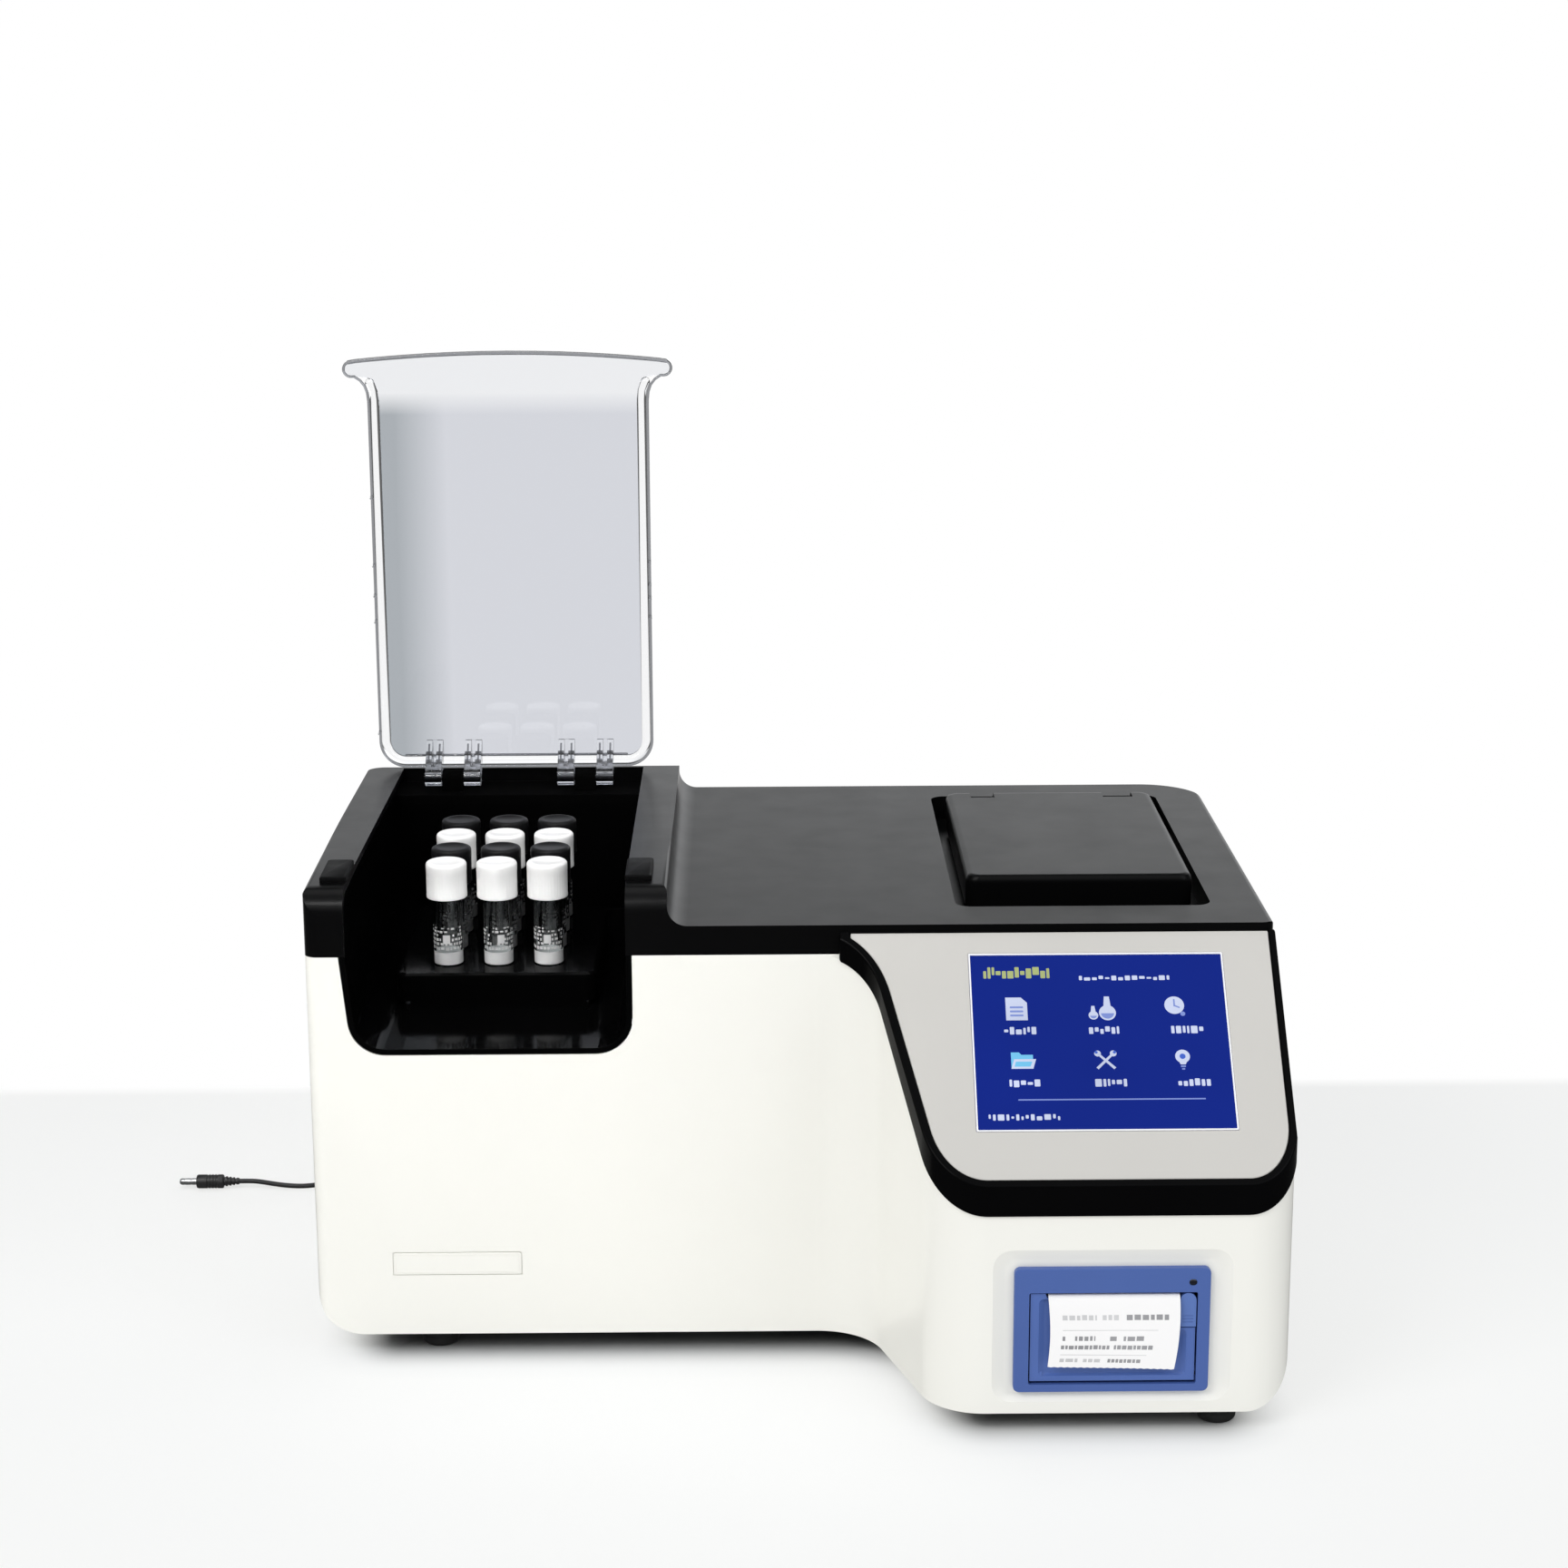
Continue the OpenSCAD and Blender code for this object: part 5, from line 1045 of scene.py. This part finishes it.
def make_paper():
    line = smooth_line([(0, y, z) for y, z in STRIP], 6)
    cols = 38
    x0, x1 = PRN_X - 28.5, PRN_X + 28.5
    bm = bmesh.new()
    t = 0.11

    def lean(x, z):
        """A slight wave across and a curl at the lower corners."""
        k = (x - PRN_X) / 28.5
        low = max(0.0, (46 - z) / 15.5)
        return -0.22 * low * k * k + 0.1 * math.sin(k * 2.4 + 0.6) * low

    def askew(x, z):
        """The free part is torn askew and narrows towards its end."""
        u = (x - x0) / (x1 - x0)
        v = min(1.0, max(0.0, (63.0 - z) / 32.5))
        return x - 1.0 * u + 0.9 * (1 - u) * math.sin(math.pi * v) - u * (1.9 * v * v - 0.5 * math.sin(math.pi * v)), z + 1.6 * (1 - u) * v * v

    front, rear = [], []
    for i, p in enumerate(line):
        q0, q1 = line[max(i - 1, 0)], line[min(i + 1, len(line) - 1)]
        d = (q1 - q0).normalized()
        n = Vector((0, -d.z, d.y))
        fr, rr = [], []
        for c in range(cols + 1):
            x = x0 + (x1 - x0) * c / cols
            z = p.z - (0.25 * (c % 2) if i == len(line) - 1 else 0)
            y = p.y + lean(x, z)
            xs, zs = askew(x, z) if p.y < PF - 0.5 else (x - (x - x0) / (x1 - x0), z)
            fr.append(bm.verts.new((xs, y, zs)))
            rr.append(bm.verts.new((xs, y + n.y * t, zs + n.z * t)))
        front.append(fr)
        rear.append(rr)
    for g, flip in ((front, False), (rear, True)):
        for a, b in zip(g, g[1:]):
            for c in range(cols):
                bm.faces.new((a[c], a[c + 1], b[c + 1], b[c]))
    for a, b in ((0, 0), (-1, -1)):
        for c in range(cols):
            bm.faces.new((front[a][c], front[a][c + 1], rear[b][c + 1], rear[b][c]))
    for c in (0, cols):
        for i in range(len(line) - 1):
            bm.faces.new((front[i][c], front[i + 1][c], rear[i + 1][c], rear[i][c]))
    piece(from_bm(bm), "printed_strip", M["paper"], "printer_door", 0, replaces=("paper_strip",), tidy_up=False)

    def face_y(x, z):
        for a, b in zip(line, line[1:]):
            if a.z >= z >= b.z and a.y < PF - 1:
                k = (a.z - z) / max(1e-6, a.z - b.z)
                return a.y + (b.y - a.y) * k + lean(x, z)
        return PF - 2.4

    dark, pale = bmesh.new(), bmesh.new()

    def mark(bm, xa, xb, z, h):
        n = max(1, int((xb - xa) / 3))
        cols_ = []
        for i in range(n + 1):
            x = xa + (xb - xa) * i / n
            ring = [(askew(x, zz), face_y(x, zz) + dy) for zz, dy in ((z, -0.035), (z + h, -0.035), (z + h, 0.03), (z, 0.03))]
            cols_.append([bm.verts.new((q[0], yy, q[1])) for q, yy in ring])
        for p, q in zip(cols_, cols_[1:]):
            for k in range(4):
                bm.faces.new((p[k], p[(k + 1) % 4], q[(k + 1) % 4], q[k]))
        bm.faces.new(cols_[0])
        bm.faces.new(cols_[-1][::-1])

    rnd = random.Random(5)

    def text(bm, xa, xb, z, h, lo=1.0, hi=3.4, gap=0.7):
        x = xa
        while x < xb - 0.4:
            w = min(rnd.uniform(lo, hi), xb - x)
            mark(bm, x, x + w, z + rnd.uniform(0, 0.12), h - rnd.uniform(0, 0.2))
            x += w + gap

    text(pale, 114, 129, 53.2, 2.4, 1.4, 2.6, 0.8)
    text(pale, 131.5, 139.0, 53.2, 2.4, 1.4, 2.6, 0.8)
    text(dark, 142, 161.5, 53.2, 2.5, 1.4, 2.8, 0.8)
    mark(pale, 114, 156, 48.4, 0.26)
    text(dark, 114, 116, 43.5, 2.2)
    text(dark, 119.5, 128.5, 43.5, 2.2)
    text(dark, 135, 138.5, 43.5, 2.2)
    text(dark, 141, 150.5, 43.5, 2.2)
    text(dark, 113.5, 135, 39.4, 2.0, 0.9, 2.4, 0.5)
    text(dark, 137, 155, 39.4, 2.0, 0.9, 2.4, 0.5)
    mark(pale, 113.5, 152, 36.6, 0.25)
    text(pale, 113.5, 121.5, 33.0, 1.8)
    text(pale, 124, 132.5, 33.0, 1.8)
    text(dark, 135, 150.5, 33.0, 1.8, 0.8, 2.0, 0.5)
    piece(from_bm(dark), "strip_print", M["toner"], "printer_door", 0, smooth=False, tidy_up=False)
    piece(from_bm(pale), "strip_print_pale", M["toner_pale"], "printer_door", 0, smooth=False, tidy_up=False)


# ------------------------------------------------------------------ feet and small things
def make_feet():
    feet = []
    for x, y in ((-161, 15), (184, -72), (-161, 228), (168, 228)):
        feet.append(lathe([(4.3, 0.0), (6.9, 0.0), (7.5, 0.25), (8.2, 1.0), (8.45, 1.6), (8.55, 4.2), (8.35, 4.5), (8.35, 4.9), (8.7, 5.2), (9.0, 9.5), (2.3, 9.5), (2.3, 5.0), (4.3, 5.0)], x, y, 56))
    join(feet[0], *feet[1:])
    piece(feet[0], "feet", M["rubber"], "base", 0, replaces=("rubber_feet",), tidy_up=False)


def make_switch_marks():
    """I and O on the rocker."""
    bm = bmesh.new()
    t = math.radians(7)

    def spot(x, u, w):
        # u runs up the rocker's face, w stands out of it
        y, z = w, u
        return (x, 246 + y * math.cos(t) - z * math.sin(t), 60 + y * math.sin(t) + z * math.cos(t))

    def face(u):
        return 7 + abs(u) / 8.2

    pts = [(-0.45, 3.0), (0.45, 3.0), (0.45, 6.6), (-0.45, 6.6)]
    a = [bm.verts.new(spot(152.5 + x, u, face(u) - 0.02)) for x, u in pts]
    b = [bm.verts.new(spot(152.5 + x, u, face(u) + 0.06)) for x, u in pts]
    bm.faces.new(a)
    bm.faces.new(b[::-1])
    ring_faces(bm, a, b)
    n = 28
    rings = []
    for r, w in ((1.1, -0.02), (1.1, 0.06), (1.8, 0.06), (1.8, -0.02)):
        rings.append([bm.verts.new(spot(152.5 + r * math.cos(2 * math.pi * i / n), -4.8 + r * math.sin(2 * math.pi * i / n), face(-4.8 + r * math.sin(2 * math.pi * i / n)) + w)) for i in range(n)])
    for k in range(4):
        ring_faces(bm, rings[k], rings[(k + 1) % 4])
    piece(from_bm(bm), "switch_marks", M["mark"], "power_switch", 0, smooth=False, tidy_up=False)


make_housing()
make_plate()
make_cover()
make_pads()
make_liner()
make_block_cover()
make_lid()
make_knuckles()
make_measuring_lid()
make_console()
make_screen()
make_printer()
make_paper()
make_feet()
make_switch_marks()
for r_, letter in enumerate("abcd"):
    for c_ in range(3):
        make_vial(f"vial_{letter}{c_ + 1}", c_ - 1, r_, "white" if letter in "ac" else "black", 100 + r_ * 3 + c_)

for node, key, bevel in (
    ("base_plate", "zinc", 0.3), ("case_screws", "steel", 0.25), ("hinge_pins", "dark_metal", 0.2),
    ("heating_block", "alu", 0.4), ("heater_plate", "heater", 0.3), ("block_jacket", "felt", 1.0), ("temperature_probe", "steel", 0.2),
    ("lid_seal", "rubber", 0.5), ("cuvette_holder", "dark_metal", 0.4), ("light_source", "alu", 0.3), ("filter_wheel", "dark_metal", 0.3),
    ("filter_motor", "steel", 0.4), ("detector_board", "board", 0.15), ("main_board", "board", 0.15), ("platen_roller", "rubber", 0.3),
    ("print_head", "alu", 0.2), ("paper_roll", "paper", 0.2), ("roll_spindle", "spindle", 0.3), ("mains_inlet", "inner_black", 0.5),
    ("inlet_pins", "pins", 0.3), ("power_switch", "inner_black", 0.4), ("fan_frame", "inner_black", 0.4), ("fan_rotor", "inner_black", 0.3),
    ("power_supply", "zinc", 0.4), ("side_socket", "inner_black", 0.4),
):
    dressed(node, M[key], bevel)


# ------------------------------------------------------------------ floor, light
def make_floor():
    bm = bmesh.new()
    s = 12.0
    bm.faces.new([bm.verts.new(p) for p in ((-s, -s, 0), (s, -s, 0), (s, s, 0), (-s, s, 0))])
    o = from_bm(bm, "floor")
    k = Nodes("floor")
    k.p.inputs["Roughness"].default_value = 0.5
    tone = k.ramp(k.noise(0.7, 2), (0.85, 0.865, 0.88), (0.87, 0.882, 0.893))
    k.p.inputs["Specular IOR Level"].default_value = 0.3
    sep = k.add("ShaderNodeSeparateXYZ")
    k.link(k.coord.outputs["Object"], sep.inputs["Vector"])
    far = k.span(sep.outputs["Y"], 0.0, 1.0, 0.27, 0.285)
    glow = k.add("ShaderNodeEmission")
    glow.inputs["Color"].default_value = (1, 1, 1, 1)
    # bounced light finds the glow only in a wedge behind the part, so clear edges draw darker lines
    reach = k.add("ShaderNodeMath", operation="MULTIPLY_ADD")
    reach.inputs[1].default_value, reach.inputs[2].default_value = 0.27, 0.42
    k.link(sep.outputs["Y"], reach.inputs[0])
    side = k.add("ShaderNodeMath", operation="ABSOLUTE")
    k.link(sep.outputs["X"], side.inputs[0])
    over = k.add("ShaderNodeMath", operation="SUBTRACT")
    k.link(side.outputs["Value"], over.inputs[0])
    k.link(reach.outputs["Value"], over.inputs[1])
    wedge = k.span(over.outputs["Value"], 1.0, 0.12, 0.0, 0.25)
    path = k.add("ShaderNodeLightPath")
    most = k.add("ShaderNodeMath", operation="MAXIMUM")
    k.link(wedge, most.inputs[0])
    k.link(path.outputs["Is Camera Ray"], most.inputs[1])
    k.link(most.outputs["Value"], glow.inputs["Strength"])
    soft = k.add("ShaderNodeEmission", Strength=1.0)
    soft.inputs["Color"].default_value = (1.0, 1.0, 0.985, 1)
    k.link(k.span(path.outputs["Is Diffuse Ray"], 1.0, 1.3, 0.0, 1.0), soft.inputs["Strength"])
    near = k.add("ShaderNodeMixShader")

    def reach_of(x0, x1, y0, y1):
        """How far a point of the floor lies outside a rectangle."""
        parts = []
        for axis, lo, hi in (("X", x0, x1), ("Y", y0, y1)):
            a = k.add("ShaderNodeMath", operation="SUBTRACT")
            k.link(sep.outputs[axis], a.inputs[0])
            a.inputs[1].default_value = (lo + hi) / 2
            b = k.add("ShaderNodeMath", operation="ABSOLUTE")
            k.link(a.outputs["Value"], b.inputs[0])
            c = k.add("ShaderNodeMath", operation="SUBTRACT")
            k.link(b.outputs["Value"], c.inputs[0])
            c.inputs[1].default_value = (hi - lo) / 2
            parts.append(c.outputs["Value"])
        m = k.add("ShaderNodeMath", operation="MAXIMUM")
        k.link(parts[0], m.inputs[0])
        k.link(parts[1], m.inputs[1])
        inner = k.add("ShaderNodeMath", operation="MINIMUM")
        k.link(m.outputs["Value"], inner.inputs[0])
        inner.inputs[1].default_value = 0.0
        corner = k.add("ShaderNodeCombineXYZ")
        for part, key in zip(parts, "XY"):
            c = k.add("ShaderNodeMath", operation="MAXIMUM")
            k.link(part, c.inputs[0])
            c.inputs[1].default_value = 0.0
            k.link(c.outputs["Value"], corner.inputs[key])
        outer = k.add("ShaderNodeVectorMath", operation="LENGTH")
        k.link(corner.outputs["Vector"], outer.inputs[0])
        total = k.add("ShaderNodeMath", operation="ADD")
        k.link(outer.outputs["Value"], total.inputs[0])
        k.link(inner.outputs["Value"], total.inputs[1])
        return total.outputs["Value"]

    under = k.add("ShaderNodeMath", operation="SMOOTH_MIN")
    k.link(reach_of(-0.178, 0.185, -0.072, 0.15), under.inputs[0])
    k.link(reach_of(0.085, 0.18, -0.155, 0.0), under.inputs[1])
    under.inputs[2].default_value = 0.04
    k.link(k.span(under.outputs["Value"], 0.0, 0.6, 0.006, 0.04), near.inputs["Fac"])
    # contact shadow under and close to the body, seen directly only
    deep = k.add("ShaderNodeMapRange", interpolation_type="SMOOTHSTEP")
    for key, v in (("From Min", -0.01), ("From Max", 0.03), ("To Min", 0.9), ("To Max", 0.0)):
        deep.inputs[key].default_value = v
    k.link(under.outputs["Value"], deep.inputs["Value"])
    direct = k.add("ShaderNodeMath", operation="MULTIPLY")
    k.link(deep.outputs["Result"], direct.inputs[0])
    k.link(path.outputs["Is Camera Ray"], direct.inputs[1])
    left = k.add("ShaderNodeMath", operation="SUBTRACT")
    left.inputs[0].default_value = 1.0
    k.link(direct.outputs["Value"], left.inputs[1])
    shade = k.add("ShaderNodeVectorMath", operation="SCALE")
    k.link(tone, shade.inputs[0])
    k.link(left.outputs["Value"], shade.inputs["Scale"])
    k.link(shade.outputs["Vector"], k.p.inputs["Base Color"])
    dim = k.add("ShaderNodeEmission", Strength=0.12)
    seen = k.add("ShaderNodeMixShader")
    k.link(path.outputs["Is Glossy Ray"], seen.inputs["Fac"])
    k.link(k.p.outputs["BSDF"], near.inputs[1])
    k.link(soft.outputs["Emission"], near.inputs[2])
    mix = k.add("ShaderNodeMixShader")
    k.link(far, mix.inputs["Fac"])
    k.link(near.outputs["Shader"], seen.inputs[1])
    k.link(dim.outputs["Emission"], seen.inputs[2])
    k.link(seen.outputs["Shader"], mix.inputs[1])
    k.link(glow.outputs["Emission"], mix.inputs[2])
    k.link(mix.outputs["Shader"], k.out.inputs["Surface"])
    o.data.materials.append(k.mat)


def make_world():
    w = bpy.data.worlds.new("studio")
    scene.world = w
    w.use_nodes = True
    t = w.node_tree
    t.nodes.clear()
    out = t.nodes.new("ShaderNodeOutputWorld")
    coord = t.nodes.new("ShaderNodeTexCoord")
    sep = t.nodes.new("ShaderNodeSeparateXYZ")
    t.links.new(coord.outputs["Generated"], sep.inputs["Vector"])

    def span(source, a, b, lo, hi):
        m = t.nodes.new("ShaderNodeMapRange")
        for key, v in (("From Min", a), ("From Max", b), ("To Min", lo), ("To Max", hi)):
            m.inputs[key].default_value = v
        t.links.new(source, m.inputs["Value"])
        return m.outputs["Result"]

    def math_node(op, a, b):
        m = t.nodes.new("ShaderNodeMath")
        m.operation = op
        for k, v in enumerate((a, b)):
            if isinstance(v, (int, float)):
                m.inputs[k].default_value = v
            else:
                t.links.new(v, m.inputs[k])
        return m.outputs["Value"]

    # low down: bright behind the part; high up: bright over the viewer, dark over the back
    x, y, z = sep.outputs["X"], sep.outputs["Y"], sep.outputs["Z"]
    low = span(y, -0.6, 0.8, 0.45, 1.0)
    high = span(y, -0.45, 0.3, 1.05, 0.1)
    lift = span(z, 0.33, 0.5, 0.0, 1.0)
    level = math_node("ADD", math_node("MULTIPLY", low, math_node("SUBTRACT", 1.0, lift)), math_node("MULTIPLY", high, lift))
    wide = math_node("MULTIPLY", span(math_node("ABSOLUTE", x, 0.0), 0.5, 0.8, 0.0, 0.8), span(y, -0.3, 0.1, 0.0, 1.0))
    level = math_node("MULTIPLY", level, math_node("SUBTRACT", 1.0, wide))
    path = t.nodes.new("ShaderNodeLightPath")
    front = math_node("MULTIPLY", span(y, -0.5, 0.1, 0.85, 0.0), math_node("SUBTRACT", 1.0, lift))
    shape = math_node("MULTIPLY", math_node("SUBTRACT", 1.0, front), span(x, -0.25, 0.25, 0.92, 1.5))
    glossy = math_node("MULTIPLY", path.outputs["Is Glossy Ray"], math_node("SUBTRACT", shape, 1.0))
    level = math_node("MULTIPLY", level, math_node("ADD", 1.0, glossy))
    soft = t.nodes.new("ShaderNodeBackground")
    soft.inputs["Color"].default_value = (0.97, 0.985, 1.0, 1)
    t.links.new(level, soft.inputs["Strength"])
    plain = t.nodes.new("ShaderNodeBackground")
    plain.inputs["Color"].default_value = (1, 1, 1, 1)
    mix = t.nodes.new("ShaderNodeMixShader")
    t.links.new(path.outputs["Is Camera Ray"], mix.inputs["Fac"])
    t.links.new(soft.outputs["Background"], mix.inputs[1])
    t.links.new(plain.outputs["Background"], mix.inputs[2])
    t.links.new(mix.outputs["Shader"], out.inputs["Surface"])


def lamp(name, at, target, size, energy, color=(1, 1, 1), shape="RECTANGLE"):
    data = bpy.data.lights.new(name, "AREA")
    data.shape = shape
    data.size, data.size_y = size
    data.energy = energy
    data.color = color
    o = bpy.data.objects.new(name, data)
    scene.collection.objects.link(o)
    o.location = at
    o.rotation_mode = "QUATERNION"
    o.rotation_quaternion = (Vector(target) - Vector(at)).to_track_quat("-Z", "Y")
    return o


make_floor()
make_world()
lamp("key", (-1.3, -1.5, 1.7), (0, 0, 0.1), (1.3, 1.1), 20, (1.0, 0.985, 0.96))
lamp("fill", (1.6, -1.2, 1.2), (0.05, -0.05, 0.1), (1.0, 1.0), 5, (0.96, 0.98, 1.0))
lamp("top", (0.1, 0.3, 1.9), (0.0, 0.0, 0.1), (1.6, 1.0), 9)
lamp("well", (-0.4, -0.9, 1.3), (-0.135, 0.05, 0.19), (0.3, 0.3), 0.1).data.spread = math.radians(14)
scene.view_settings.view_transform = "Standard"
scene.view_settings.look = "None"
scene.view_settings.exposure = 0.0
